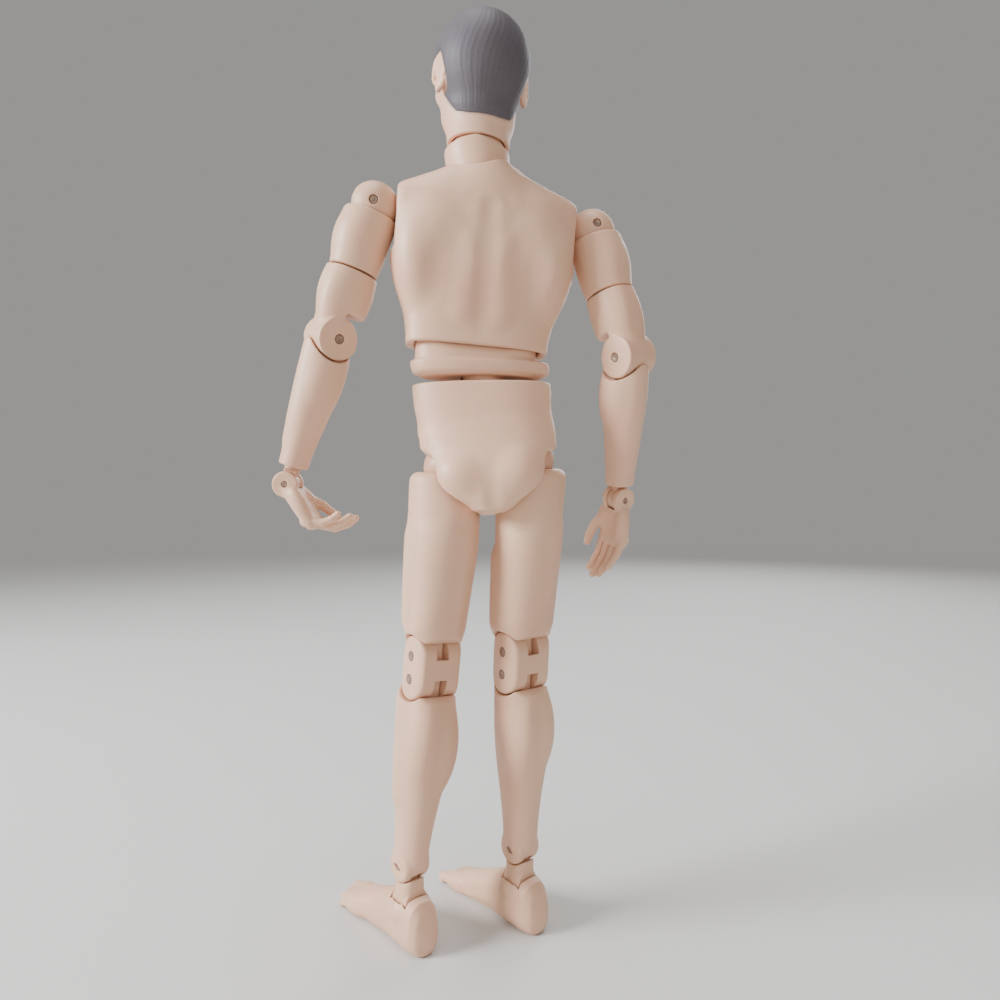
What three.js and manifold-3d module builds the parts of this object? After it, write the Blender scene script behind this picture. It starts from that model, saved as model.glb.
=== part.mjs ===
// Posable 1:6 figure of a man, standing, with ball hubs at shoulders and hips,
// swivels in the upper arms, double-pinned knees and two-axis ankles.
// Millimetres, +Z up, the figure faces -Y, its left side is +X.
import * as THREE from 'three'
import { mergeVertices } from 'three/addons/utils/BufferGeometryUtils.js'
import Module from 'manifold-3d'

const wasm = await Module()
wasm.setup()

// ---------------------------------------------------------------- dimensions
const GAP = 0.4                    // running clearance between moving shells
const FIT = 0.3                    // clearance between pieces that stay put
const ORIGIN = [6.083, -11.317]    // centre of the footprint box, moved to x = y = 0

const PELVIS = { at: [-1.2, 0, 150.5], roll: 5.5 }
const CHEST = { at: [1.0, 0, 213], roll: -4, yaw: 8 }
const HIP_X = 12.8                 // hip hubs from the middle of the pelvis
const HIP_R = 8.0                  // hip hub ball
const SHOULDER = [34.9, 0, 15.2]   // shoulder hubs in the chest's own axes
const SHOULDER_R = 7.6             // shoulder hub ball
const WAIST_PIVOT = [0.8, 0, 171.6]
const CHEST_PIVOT_Z = -31          // waist pin below the middle of the chest
const CHEST_PIVOT_R = 9.5
const NECK_PIVOT = [1.6, 1.5, 237.5]
const HEAD_PIVOT = [2.4, 0.8, 247.5]
const HEAD_TURN = 14, HEAD_TILT = -3

const ELBOW = { L: [48.3, 3.5, 189.9], R: [-45.8, -1, 184.9] }
const WRIST = { L: [62.7, 0.5, 144.1], R: [-44.8, -14, 139.6] }
const ELBOW_AXIS = { L: [0.66, -0.75, 0], R: [0.78, 0.6, -0.16] }
const WRIST_AXIS = { L: [0, -1, 0], R: [-0.5, 0.87, 0] }
const HAND_BEND = { L: 50, R: 3 }
const CURL = { L: 66, R: 24 }      // fingers from the palm
const SWIVEL_Z = -21.2             // swivel cut below the shoulder
const ELBOW_R = 6.6
const PALM = 14.5, FINGERS = 12.5

const KNEE = { L: [16.9, 2.0, 86.4], R: [-11.6, -4, 87.2] }
const ANKLE = { L: [23.6, 3.4, 25.2], R: [-11.3, -8.0, 25.2] }
const LEG_YAW = 38                 // knees and feet turned to the figure's left
const KNEE_PITCH = 7.2             // between the two knee pins
const KNEE_R = 6.3
const KNEE_TONGUE = 3.6            // tongues of thigh and shin in the knee block
const FOOT_YAW = 42                // feet turned out a little further
const ANKLE_R = 5.4                // rounded end of the shin
const ANKLE_DROP = 11.2            // flex pin to tilt pin
const FOOT_LONG = 49, HEEL_BACK = 10

// ----------------------------------------------------------------- materials
const skin = new THREE.MeshStandardMaterial({ color: 0xd2b0a2, roughness: 0.52, metalness: 0 })
const peg = new THREE.MeshStandardMaterial({ color: 0xc9a792, roughness: 0.45, metalness: 0 })
const hair = new THREE.MeshStandardMaterial({ color: 0xcdab9b, roughness: 0.6, metalness: 0 })
const steel = new THREE.MeshStandardMaterial({ color: 0x9c948c, roughness: 0.35, metalness: 0.9 })

// ------------------------------------------------------------------- helpers
function solid(geometry) {
  const g = geometry.clone()
  g.deleteAttribute('normal')
  g.deleteAttribute('uv')
  const m = mergeVertices(g, 1e-5)
  const index = []
  for (let i = 0; i < m.index.count; i += 3) {
    const [a, b, c] = [0, 1, 2].map(k => m.index.getX(i + k))
    if (a !== b && b !== c && a !== c) index.push(a, b, c)
  }
  return new wasm.Manifold(new wasm.Mesh({
    numProp: 3, vertProperties: new Float32Array(m.attributes.position.array), triVerts: new Uint32Array(index)
  }))
}
const ball = (r, w = 16, h = 10) => solid(new THREE.SphereGeometry(r, w, h))
const egg = (rx, ry, rz, w = 16, h = 10) => ball(1, w, h).scale([rx, ry, rz])
const block = (x, y, z) => solid(new THREE.BoxGeometry(x, y, z))
function rod(axis, r, length, sides = 12, r2 = r) {     // centred on the origin
  const g = new THREE.CylinderGeometry(r2, r, length, sides)
  if (axis === 'x') g.rotateZ(-Math.PI / 2)
  if (axis === 'z') g.rotateX(Math.PI / 2)
  return solid(g)
}
// A closed skin through level sections [z, half width, front, back, x, y, squareness].
function loft(sections, radial = 24, sub = 2) {
  const rows = []
  const get = i => sections[Math.min(Math.max(i, 0), sections.length - 1)]
  const val = (s, k) => s[k] ?? (k === 6 ? 2.2 : 0)
  for (let i = 0; i < sections.length - 1; i++) {
    for (let j = 0; j < sub; j++) {
      const t = j / sub
      rows.push([0, 1, 2, 3, 4, 5, 6].map(k => {
        const [p0, p1, p2, p3] = [get(i - 1), get(i), get(i + 1), get(i + 2)].map(s => val(s, k))
        if (k === 0) return p1 + (p2 - p1) * t
        return 0.5 * (2 * p1 + (p2 - p0) * t + (2 * p0 - 5 * p1 + 4 * p2 - p3) * t * t +
          (3 * p1 - p0 - 3 * p2 + p3) * t * t * t)
      }))
    }
  }
  rows.push([0, 1, 2, 3, 4, 5, 6].map(k => val(sections.at(-1), k)))
  const n = rows.length - 1
  const g = new THREE.CylinderGeometry(1, 1, 1, radial, n)
  const p = g.attributes.position
  const power = (v, e) => Math.sign(v) * Math.abs(v) ** e
  for (let i = 0; i < p.count; i++) {
    const r = Math.hypot(p.getX(i), p.getZ(i)) > 0.5 ? 1 : 0
    const angle = Math.atan2(-p.getZ(i), p.getX(i))
    const [z, a, f, b, x, y, q] = rows[Math.round((p.getY(i) + 0.5) * n)]
    const c = power(Math.cos(angle), 2 / q), s = power(Math.sin(angle), 2 / q)
    p.setXYZ(i, x + r * c * a, y + r * s * (s > 0 ? b : f), z)
  }
  return solid(g)
}
const grow = (sections, d) => sections.map(s => s.map((v, k) => (k >= 1 && k <= 3 ? v + d : v)))
function union(list) {
  return list.reduce((a, b) => a.add(b))
}
// The room a piece takes as it turns about the origin of its own axes.
function sweep(piece, axis, from, to, step = 5) {
  const n = Math.max(1, Math.ceil(Math.abs(to - from) / step))
  const list = []
  for (let i = 0; i <= n; i++) {
    const a = from + (to - from) * i / n
    list.push(piece.rotate(axis === 'x' ? [a, 0, 0] : axis === 'y' ? [0, a, 0] : [0, 0, a]))
  }
  return union(list)
}
// The room a square stem of half width w takes, swung about x or y between two angles.
function pie(axis, w, thick, long, from, to) {
  const dir = a => { const r = a * Math.PI / 180; return axis === 'y' ? [-Math.sin(r), -Math.cos(r)] : [Math.sin(r), -Math.cos(r)] }
  const n = Math.max(1, Math.ceil(Math.abs(to - from) / 30))
  const reach = long / Math.cos(Math.abs(to - from) / n * Math.PI / 360)
  const shape = new THREE.Shape()
  shape.moveTo(0, 0)
  for (let i = 0; i <= n; i++) {
    const [u, v] = dir(from + (to - from) * i / n)
    shape.lineTo(u * reach, v * reach)
  }
  const g = new THREE.ExtrudeGeometry(shape, { depth: thick, bevelEnabled: false, steps: 1 })
  g.translate(0, 0, -thick / 2)
  g.rotateX(Math.PI / 2)
  if (axis === 'x') g.rotateZ(Math.PI / 2)
  const stem = a => (axis === 'y' ? block(2 * w, thick, long) : block(thick, 2 * w, long))
    .translate([0, 0, -long / 2]).rotate(axis === 'y' ? [0, a, 0] : [a, 0, 0])
  return union([solid(g), stem(from), stem(to)])
}
const vec = a => new THREE.Vector3(...a)
function frame(origin, up, side) {                      // local x along side, z along up
  const z = vec(up).normalize()
  const x = vec(side).addScaledVector(z, -vec(side).dot(z)).normalize()
  const y = new THREE.Vector3().crossVectors(z, x)
  return new THREE.Matrix4().makeBasis(x, y, z).setPosition(...origin)
}
function hinged(origin, up, side) {                     // local x exactly along side
  const x = vec(side).normalize()
  const z = vec(up).addScaledVector(x, -vec(up).dot(x)).normalize()
  return new THREE.Matrix4().makeBasis(x, new THREE.Vector3().crossVectors(z, x), z).setPosition(...origin)
}
const axisX = m => new THREE.Vector3().setFromMatrixColumn(m, 0).toArray()
function rolled(origin, degrees, yaw = 0) {
  const m = new THREE.Matrix4().makeRotationZ(THREE.MathUtils.degToRad(yaw))
  return m.multiply(new THREE.Matrix4().makeRotationY(THREE.MathUtils.degToRad(degrees))).setPosition(...origin)
}
const to = (piece, m) => piece.transform([...m.elements])
const from = (piece, m) => piece.transform([...m.clone().invert().elements])
const less = (a, b) => vec(a).sub(vec(b)).toArray()
const point = (m, p) => vec(p).applyMatrix4(m).toArray()

// A cut can leave crumbs: only the largest body is kept.
const largest = piece => piece.decompose().reduce((a, b) => (a.volume() > b.volume() ? a : b))

const figure = new THREE.Group()
figure.name = 'figure'
figure.position.set(-ORIGIN[0], -ORIGIN[1], 0)
const frames = new Map()
function joint(name, parent, m) {                       // a group placed at a pivot
  const g = new THREE.Group()
  g.name = name
  frames.set(g, m)
  const base = frames.get(parent) ?? new THREE.Matrix4()
  base.clone().invert().multiply(m).decompose(g.position, g.quaternion, g.scale)
  parent.add(g)
  return g
}
// Adds a piece given in the axes of its group.
function put(name, parent, piece, material) {
  const { vertProperties, triVerts, numProp } = largest(piece).getMesh()
  const at = new Float32Array(vertProperties.length / numProp * 3)
  for (let i = 0; i < at.length / 3; i++) {
    for (let k = 0; k < 3; k++) at[i * 3 + k] = vertProperties[i * numProp + k]
  }
  const g = new THREE.BufferGeometry()
  g.setAttribute('position', new THREE.BufferAttribute(at, 3))
  g.setIndex([...triVerts])
  g.computeVertexNormals()
  const mesh = new THREE.Mesh(g, material)
  mesh.name = name
  parent.add(mesh)
}

// -------------------------------------------------------------------- frames
const pelvisM = rolled(PELVIS.at, PELVIS.roll)
const chestM = rolled(CHEST.at, CHEST.roll, CHEST.yaw)
const waistM = rolled(WAIST_PIVOT, 0, CHEST.yaw)
const neckM = rolled(NECK_PIVOT, 0, CHEST.yaw)
const tiltM = frame(HEAD_PIVOT, [Math.sin(HEAD_TILT * Math.PI / 180), 0, Math.cos(HEAD_TILT * Math.PI / 180)], [1, 0, 0])
const headM = tiltM.clone().multiply(new THREE.Matrix4().makeRotationZ(HEAD_TURN * Math.PI / 180))
const pelvis = joint('pelvis', figure, pelvisM)
const waistTurn = joint('waist_turn', pelvis, waistM)
const waistSide = joint('waist_side', waistTurn, waistM)
const chestPivotM = chestM.clone().multiply(new THREE.Matrix4().makeTranslation(0, 0, CHEST_PIVOT_Z))
const chest = joint('waist_bend', waistSide, chestPivotM)
const neck = joint('neck_nod', chest, neckM)
const headTilt = joint('head_tilt', neck, tiltM)
const head = joint('head_turn', headTilt, headM)

// --------------------------------------------------------------------- chest
const chestIn = m => from(to(m, chestM), chestPivotM)   // chest axes to the waist pin's
const chestSkin = [
  [-27, 22.4, 10.2, 10.2, 0, 0, 2.4], [-22, 22.9, 11.0, 10.6, 0, 0, 2.4], [-14, 24.6, 12.4, 11.6, 0, 0, 2.4],
  [-5, 27.2, 14.2, 12.8, 0, 0, 2.4], [4, 29.2, 15.4, 13.6, 0, 0, 2.5], [12, 30.8, 14.6, 14.0, 0, 0.4, 2.5],
  [18, 31.6, 12.4, 13.0, 0, 1.0, 2.4], [21.5, 28.5, 10.6, 11.8, 0, 1.6, 2.2], [24.5, 21.6, 9.4, 10.8, 0.6, 1.8, 2.1],
  [27.2, 15.0, 9.0, 10.4, 1.3, 1.8, 2.0], [29.4, 10.9, 8.8, 10.2, 1.8, 1.8, 2.0]]
const chestHollow = grow(chestSkin.slice(1, -3), -2.2)
chestHollow[0] = [-20, 19.5, 8.0, 7.6, 0, 0, 2.4]
const hubRoom = s => union([
  ball(SHOULDER_R + GAP).translate([s * SHOULDER[0], 0, SHOULDER[2]]),
  rod('x', 15, 8, 20).translate([s * 32, 0, SHOULDER[2]]),
  rod('x', 2.6 + FIT, 16, 12).translate([s * 23, 0, SHOULDER[2]]),
  rod('x', 4.2 + FIT, 2.4 + 2 * FIT, 12).translate([s * 21.4, 0, SHOULDER[2]])])
const neckSections = [[-0.2, 9.5, 9.3, 9.8, 0, 0, 2], [4.5, 9.9, 9.6, 10.0, 0.3, -0.2, 2], [10, 10.1, 9.8, 10.2, 0.8, -0.7, 2]]
const neckRoom = union([ball(9.5 + GAP, 18, 10), loft([[-0.4, 9.9, 9.9, 10.3, 0, 0, 2], [7, 10.8, 12.4, 12.8, 0.2, 0, 2]], 20, 1)])
const spineStem = union([
  rod('x', 4.8, 7.2, 14),
  block(7.2, 7, 16).translate([0, 0, 9]),
  block(13, 9, 3).translate([0, 0, 18.2])])
let shell = loft(chestSkin, 30, 1)
  .subtract(hubRoom(1)).subtract(hubRoom(-1))
  .subtract(to(neckRoom, chestM.clone().invert().multiply(neckM)))
  .subtract(rod('x', CHEST_PIVOT_R + GAP, 39.4, 26).translate([0, 0, CHEST_PIVOT_Z]))
const core = loft(chestHollow, 20, 1)
  .subtract(block(20, 40, 20).translate([31.5, 0, SHOULDER[2]])).subtract(block(20, 40, 20).translate([-31.5, 0, SHOULDER[2]]))
  .subtract(block(40, 40, 14).translate([0, 0, 20.5]))
shell = shell.subtract(core)
  .subtract(union([block(7.2 + 2 * FIT, 7 + 2 * FIT, 18).translate([0, 0, CHEST_PIVOT_Z + 9]),
    block(13 + 2 * FIT, 9 + 2 * FIT, 3 + 2 * FIT).translate([0, 0, CHEST_PIVOT_Z + 18.2])]))
const frontHalf = block(90, 40, 90).translate([0, -20 - FIT / 2, 0])
const backHalf = block(90, 40, 90).translate([0, 20 + FIT / 2, 0])
put('chest_front', chest, chestIn(shell.intersect(frontHalf)), skin)
put('chest_back', chest, chestIn(shell.intersect(backHalf)), skin)
put('spine_link', chest, spineStem.subtract(rod('x', 1.6 + GAP, 20, 8)), peg)

// ---------------------------------------------------------- waist and pelvis
const bellyIn = m => from(to(m, chestPivotM), waistM)   // waist pin axes to the belly's
const bellyFlare = loft([
  [6.0, 19.2, 8.8, 8.8, 0.4, 0, 2.4], [7.4, 21.6, 9.9, 9.9, 0.5, 0, 2.4], [10.3, 22.2, 10.2, 10.2, 0.8, 0, 2.4],
  [11.1, 22.0, 9.7, 9.7, 1.0, 0, 2.4]], 26, 1)
const bellyTop = bellyIn(loft([[-3.4, 19.2, 9.4, 9.4, 0, 0, 2.6], [10, 19.2, 10.4, 10.4, 0, 0, 2.6]], 26, 1)
  .intersect(rod('x', CHEST_PIVOT_R, 46, 26)))
const spineRoom = union([rod('x', 4.8 + GAP, 7.2 + 2 * GAP, 14),
  pie('x', 3.5 + GAP, 7.2 + 2 * GAP, 16, 158, 202)])
const belly = bellyTop.add(bellyFlare).add(rod('z', 6.6, 9, 20).translate([0, 0, 2.4]))
  .subtract(bellyIn(spineRoom)).subtract(bellyIn(rod('x', 1.6 + FIT, 18.6, 8)))
  .subtract(ball(4.4 + GAP, 14, 8))
put('abdomen', waistSide, belly, skin)
put('waist_pin', waistSide, bellyIn(rod('x', 1.6, 18, 8)), steel)
const waistPost = union([ball(4.4, 14, 8), rod('z', 2.8, 12, 12).translate([0, 0, -8]),
  rod('z', 4.6, 2.2, 12).translate([0, 0, -12.9])])
put('waist_post', waistTurn, waistPost, peg)

const hipAt = s => [s * HIP_X, 0, 0]
const pelvisSkin = [
  [-15.4, 4.4, 3.6, 7.0, 0, 1.6, 2.0], [-13.4, 9.2, 6.2, 9.6, 0, 1.4, 2.2], [-9.6, 14.6, 9.0, 12.0, 0, 1.0, 2.3],
  [-4.4, 18.9, 11.4, 13.8, 0, 0.4, 2.4], [1.6, 21.2, 12.6, 13.8, 0, 0, 2.4], [8, 21.8, 12.8, 12.8, 0, 0, 2.4],
  [15, 21.4, 12.0, 11.6, 0, 0, 2.4], [20.6, 21.9, 11.2, 11.0, 0, 0, 2.4], [29, 21.9, 10.6, 10.6, 0, 0, 2.4]]

// ---------------------------------------------------------------------- legs
const thighSections = [
  [-61.5, 8.4, 8.8, 8.0, 0, 0, 2.2], [-56, 8.9, 9.2, 8.4, 0, 0, 2.2], [-47, 9.6, 10.0, 9.4, 0, 0, 2.1],
  [-36, 10.6, 11.0, 10.2, 0, 0, 2.1], [-25, 11.4, 11.6, 10.8, 0, 0, 2.1], [-15, 11.4, 11.8, 10.8, 0.2, -0.2, 2.1],
  [-8, 11.0, 11.4, 10.4, 1.0, -0.4, 2.1], [-4.4, 10.3, 10.8, 10.0, 1.7, -0.5, 2.1], [-2.4, 8.9, 9.4, 8.8, 2.1, -0.6, 2.1]]
const shinSections = [
  [-57.6, 5.3, 5.4, 5.6, 0, 0, 2.1], [-52, 5.4, 5.6, 5.9, 0, 0, 2.1], [-42, 6.2, 6.4, 7.2, 0, 0, 2.1],
  [-30, 7.6, 7.6, 9.2, 0, 0, 2.1], [-20, 8.5, 8.0, 10.2, 0, 0, 2.1], [-11, 8.6, 8.2, 9.6, 0, 0, 2.1],
  [-4, 8.3, 8.4, 8.2, 0, 0, 2.2], [3.2, 8.2, 8.6, 7.6, 0, 0, 2.2]]
const yawSide = a => [Math.cos(a * Math.PI / 180), Math.sin(a * Math.PI / 180), 0]
const thighRooms = []
const legs = []
for (const [side, s] of [['L', 1], ['R', -1]]) {
  const word = side === 'L' ? 'left' : 'right'
  const hip = point(pelvisM, hipAt(s))
  const knee = KNEE[side], ankle = ANKLE[side]
  const hubM = hinged(hip, less(hip, knee), axisX(pelvisM))
  const postM = frame(hip, less(hip, knee), axisX(pelvisM))
  const kneeM = frame(knee, less(hip, knee), yawSide(LEG_YAW))
  const half = vec(less(hip, knee)).normalize().multiplyScalar(KNEE_PITCH / 2)
  const pin1 = vec(knee).add(half).toArray(), pin2 = vec(knee).sub(half).toArray()
  const pin1M = kneeM.clone().setPosition(...pin1)
  const pin2M = hinged(pin2, less(pin2, ankle), axisX(kneeM))
  const flexM = frame(ankle, [0, 0, 1], yawSide(FOOT_YAW))
  const tiltM = flexM.clone().setPosition(ankle[0], ankle[1], ankle[2] - ANKLE_DROP)
  const thighM = frame(hip, less(hip, knee), yawSide(LEG_YAW))
  const hub = joint(`${word}_hip_swing`, pelvis, hubM)
  const post = joint(`${word}_hip_spread`, hub, postM)
  const thigh = joint(`${word}_thigh_twist`, post, thighM)
  const link = joint(`${word}_knee_upper`, thigh, pin1M)
  const shin = joint(`${word}_knee_lower`, link, pin2M)
  const ankleLink = joint(`${word}_ankle_flex`, shin, flexM)
  const foot = joint(`${word}_ankle_tilt`, ankleLink, tiltM)
  legs.push({ word, s, hub, post, thigh, link, shin, ankleLink, foot, postM, thighM, hubM, flexM, tiltM, pin1M, pin2M })

  // hub: a ball on a peg, slotted for the post's round tongue
  const tongue = rod('y', 5.2, 4.6, 14)
  const stem = block(6.4, 4.6, 12).translate([0, 0, -6])
  const slot = union([rod('y', 5.2 + GAP, 4.6 + 2 * GAP, 14),
    pie('y', 3.2 + GAP, 4.6 + 2 * GAP, 13, s > 0 ? -42 : -6, s > 0 ? 6 : 42)])
  const hubBody = union([ball(HIP_R), rod('x', 2.5, 6, 12).translate([-s * (HIP_R + 1), 0, 0]),
    rod('x', 3.8, 1.6, 12).translate([-s * (HIP_R + 2.6), 0, 0])])
    .subtract(to(slot, hubM.clone().invert().multiply(postM)))
    .subtract(rod('y', 1.3 + FIT, 14.2, 8))
  put(`${word}_hip_hub`, hub, hubBody, peg)
  put(`${word}_hip_pin`, hub, rod('y', 1.3, 13.6, 8), steel)
  const postBody = union([tongue, stem, rod('z', 3.0, 10, 12).translate([0, 0, -16]),
    rod('z', 4.4, 2, 12).translate([0, 0, -21.4])]).subtract(rod('y', 1.3 + GAP, 10, 8))
  put(`${word}_hip_post`, post, postBody, peg)

  // thigh: cup over the hub, bored for the post, concave over the knee block
  const kneeAt = -vec(less(hip, knee)).length() + KNEE_PITCH / 2
  const lengthen = kneeAt / -60.3
  const sections = thighSections.map(v => [v[0] * (v[0] < 0 ? lengthen : 1), ...v.slice(1, 4), v[4] * s, v[5], v[6]])
  const yawBack = p => p.rotate([0, 0, -LEG_YAW])
  // sections are laid out along the pelvis axes near the hip and along the knee axes below
  const whole = loft(sections, 18, 1)
  const room = grow(sections.slice(-5), GAP).map((v, k) => [v[0], v[1], v[2] + 0.55 * k, v[3] + 0.45 * k, ...v.slice(4)])
  thighRooms.push([loft(room, 16, 1), s, postM])
  const kneeTongue = union([rod('x', 3.3, KNEE_TONGUE, 12), block(KNEE_TONGUE, 6, 7).translate([0, 0, 3.4])])
  const backCut = block(24, 20, 20).translate([0, 10, -10]).rotate([32, 0, 0])
  const pegWay = block(12, 30, 12).translate([-s * 11.2, 0, 2.2])     // the inner rim stays below the hub's peg
  let thighBody = yawBack(whole.subtract(ball(HIP_R + GAP)).subtract(pegWay))
    .subtract(union([rod('z', 3.0 + FIT, 17, 12).translate([0, 0, -14]), rod('z', 4.4 + FIT, 2.6, 12).translate([0, 0, -21.4]),
      rod('z', 4.6, 6, 14).translate([0, 0, -10])]))
    .subtract(rod('x', KNEE_R + GAP + 0.1, 30, 18).translate([0, 0, kneeAt]))
    .subtract(backCut.translate([0, 0, kneeAt + 1.2]))
    .subtract(block(30, 30, 12).translate([0, 0, kneeAt - 7.2]))
  thighBody = thighBody.add(kneeTongue.translate([0, 0, kneeAt]).intersect(block(30, 30, 40).translate([0, 0, kneeAt + 15])))
    .subtract(rod('x', 1.4 + FIT, 20, 8).translate([0, 0, kneeAt]))
  put(`${word}_thigh`, thigh, thighBody, skin)

  // knee block: round about both pins, slotted for both tongues
  const disc = (r, w) => union([rod('x', r, w, 18), rod('x', r, w, 18).translate([0, 0, -KNEE_PITCH]),
    block(w, 2 * r * 0.985, KNEE_PITCH).translate([0, 0, -KNEE_PITCH / 2])])
  const upperSlot = union([rod('x', 3.3 + GAP, KNEE_TONGUE + 2 * GAP, 12), pie('x', 3 + GAP, KNEE_TONGUE + 2 * GAP, 9, 180 - 60, 180 + 4)])
  const lowerSweep = union([rod('x', 3.3 + GAP, KNEE_TONGUE + 2 * GAP, 12), pie('x', 3 + GAP, KNEE_TONGUE + 2 * GAP, 9, -4, 60)])
  const relM = pin1M.clone().invert().multiply(pin2M)
  const kneeBody = disc(KNEE_R, 16.2).intersect(loft([[-16, 8.1, 9, 9, 0, 0, 2.4], [9, 8.3, 9, 9, 0, 0, 2.4]], 26, 1))
    .subtract(upperSlot).subtract(to(lowerSweep, relM))
    .subtract(rod('x', 1.4 + GAP, 20, 8)).subtract(rod('x', 1.4 + GAP, 20, 8).translate([0, 0, -KNEE_PITCH]))
  put(`${word}_knee_block`, link, kneeBody, skin)
  put(`${word}_knee_pin_upper`, thigh, from(to(rod('x', 1.4, 15.6, 8), pin1M), thighM), steel)
  put(`${word}_knee_pin_lower`, shin, rod('x', 1.4, 15.6, 8), steel)

  // shin: concave over the knee block, forked at the ankle
  const low = point(pin2M.clone().invert(), ankle)
  const grade = -low[2] / 57.6
  const shinBody = loft(shinSections.map(v => [v[0] * (v[0] < 0 ? grade : 1), ...v.slice(1, 4),
    v[0] < 0 ? -low[0] * v[0] / 57.6 : 0, v[5], v[6]]), 18, 1)
  const ankleRel = pin2M.clone().invert().multiply(flexM)
  const lowTongue = union([rod('x', 3.3, KNEE_TONGUE, 12), block(KNEE_TONGUE, 6, 7).translate([0, 0, -3.4])])
  const shinBack = block(24, 20, 20).translate([0, 10, 10]).rotate([-32, 0, 0])
  const fork = union([rod('x', 3.6 + GAP, 3.4 + 2 * GAP, 14), pie('x', 2.2 + GAP, 3.4 + 2 * GAP, 9, -27, 27)])
  const ankleTrim = block(20, 20, 20).translate([0, 0, -10]).subtract(rod('x', ANKLE_R, 20, 20))
  let shinPiece = shinBody.subtract(rod('x', KNEE_R + GAP + 0.1, 30, 18)).subtract(shinBack.translate([0, 0, -1.2]))
    .subtract(block(30, 30, 12).translate([0, 0, 7.2])).add(lowTongue.intersect(block(30, 30, 40).translate([0, 0, -15])))
    .subtract(rod('x', 1.4 + FIT, 20, 8))
    .subtract(to(ankleTrim, ankleRel))
  shinPiece = shinPiece.add(to(rod('x', ANKLE_R, 10.4, 20), ankleRel))
    .subtract(to(fork, ankleRel)).subtract(to(rod('x', 1.2 + FIT, 20, 8), ankleRel))
  put(`${word}_shin`, shin, shinPiece, skin)
  put(`${word}_ankle_pin`, shin, to(rod('x', 1.2, 9.8, 8), ankleRel), steel)

  // ankle link: flex disc above, tilt barrel below
  const knuckle = loft([[-ANKLE_DROP, 4.2, 3.8, 3.8, 0, 0, 2.6], [-8, 4.1, 4.2, 4.2, 0, 0, 2.6], [-3.6, 3.8, 4.6, 4.6, 0, 0, 2.6]], 16, 1)
    .subtract(rod('x', ANKLE_R + GAP, 20, 20))
  const linkBody = union([rod('x', 3.6, 3.4, 14), block(3.4, 4.4, 7).translate([0, 0, -4.6]), knuckle,
    rod('y', 4.2, 7.6, 16).translate([0, 0, -ANKLE_DROP])])
    .subtract(rod('x', 1.2 + GAP, 10, 8)).subtract(rod('y', 1.1 + GAP, 12, 8).translate([0, 0, -ANKLE_DROP]))
  put(`${word}_ankle_link`, ankleLink, linkBody, peg)
  put(`${word}_foot_pin`, foot, rod('y', 1.1, 11.2, 8), steel)

  // foot: sole flat on the ground, arched inside, toes along -Y
  const down = -(ankle[2] - ANKLE_DROP)
  const ground = block(60, 90, 20).translate([0, -10, down - 10])
  const footPlan = [
    [-HEEL_BACK, 4.0, 11.4], [-7, 5.4, 15.0], [0, 6.3, 17.0], [5, 5.7, 16.2], [10, 5.2, 13.2], [17, 5.3, 10.2],
    [25, 5.8, 7.6], [31, 5.6, 6.0], [FOOT_LONG - HEEL_BACK - 1.2, 4.2, 4.2]]
  const strip = loft([[-HEEL_BACK - 0.8, 2.6, 3.2, 3.2, 0, 0, 2.2], ...footPlan.map(([t, w, h]) =>
    [t, w, h / 2 + 0.25, h / 2 + 0.25, s * 0.4 * Math.max(0, (t - 4) / 30), 0, 2.8]),
    [FOOT_LONG - HEEL_BACK, 2.8, 1.4, 1.4, s * 0.4, 0, 2.2]], 16, 1)
  // the loft runs along +Z; lay it along -Y and set each section on the ground
  const laid = solid(layFoot(strip, footPlan, down))
  const collar = union([rod('y', 4.2 + GAP, 7.6 + 2 * GAP, 16),
    sweep(loft([[0, 4.2 + GAP, 4.2 + GAP, 4.2 + GAP, 0, 0, 2.6], [3.2, 4.1 + GAP, 4.2 + GAP, 4.2 + GAP, 0, 0, 2.6], [8, 3.9 + GAP, 5.0 + GAP, 5.0 + GAP, 0, 0, 2.6]], 16, 1), 'y', -17, 17, 17 / 3)])
  put(`${word}_foot`, foot, laid.subtract(ground).subtract(collar).subtract(rod('y', 1.1 + FIT, 11.8, 8)), skin)
}
function layFoot(strip, plan, down) {
  const { vertProperties, triVerts, numProp } = strip.getMesh()
  const at = new Float32Array(vertProperties.length / numProp * 3)
  for (let i = 0; i < at.length / 3; i++) {
    const [x, y, z] = [0, 1, 2].map(k => vertProperties[i * numProp + k])
    let k = 0
    while (k < plan.length - 2 && z > plan[k + 1][0]) k++
    const [t0, , h0] = plan[k], [t1, , h1] = plan[k + 1]
    const u = Math.min(Math.max((z - t0) / (t1 - t0), 0), 1)
    at.set([x, -z, y + down - 0.35 + (h0 + (h1 - h0) * u) / 2], i * 3)
  }
  const g = new THREE.BufferGeometry()
  g.setAttribute('position', new THREE.BufferAttribute(at, 3))
  g.setIndex([...triVerts])
  return g
}

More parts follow.
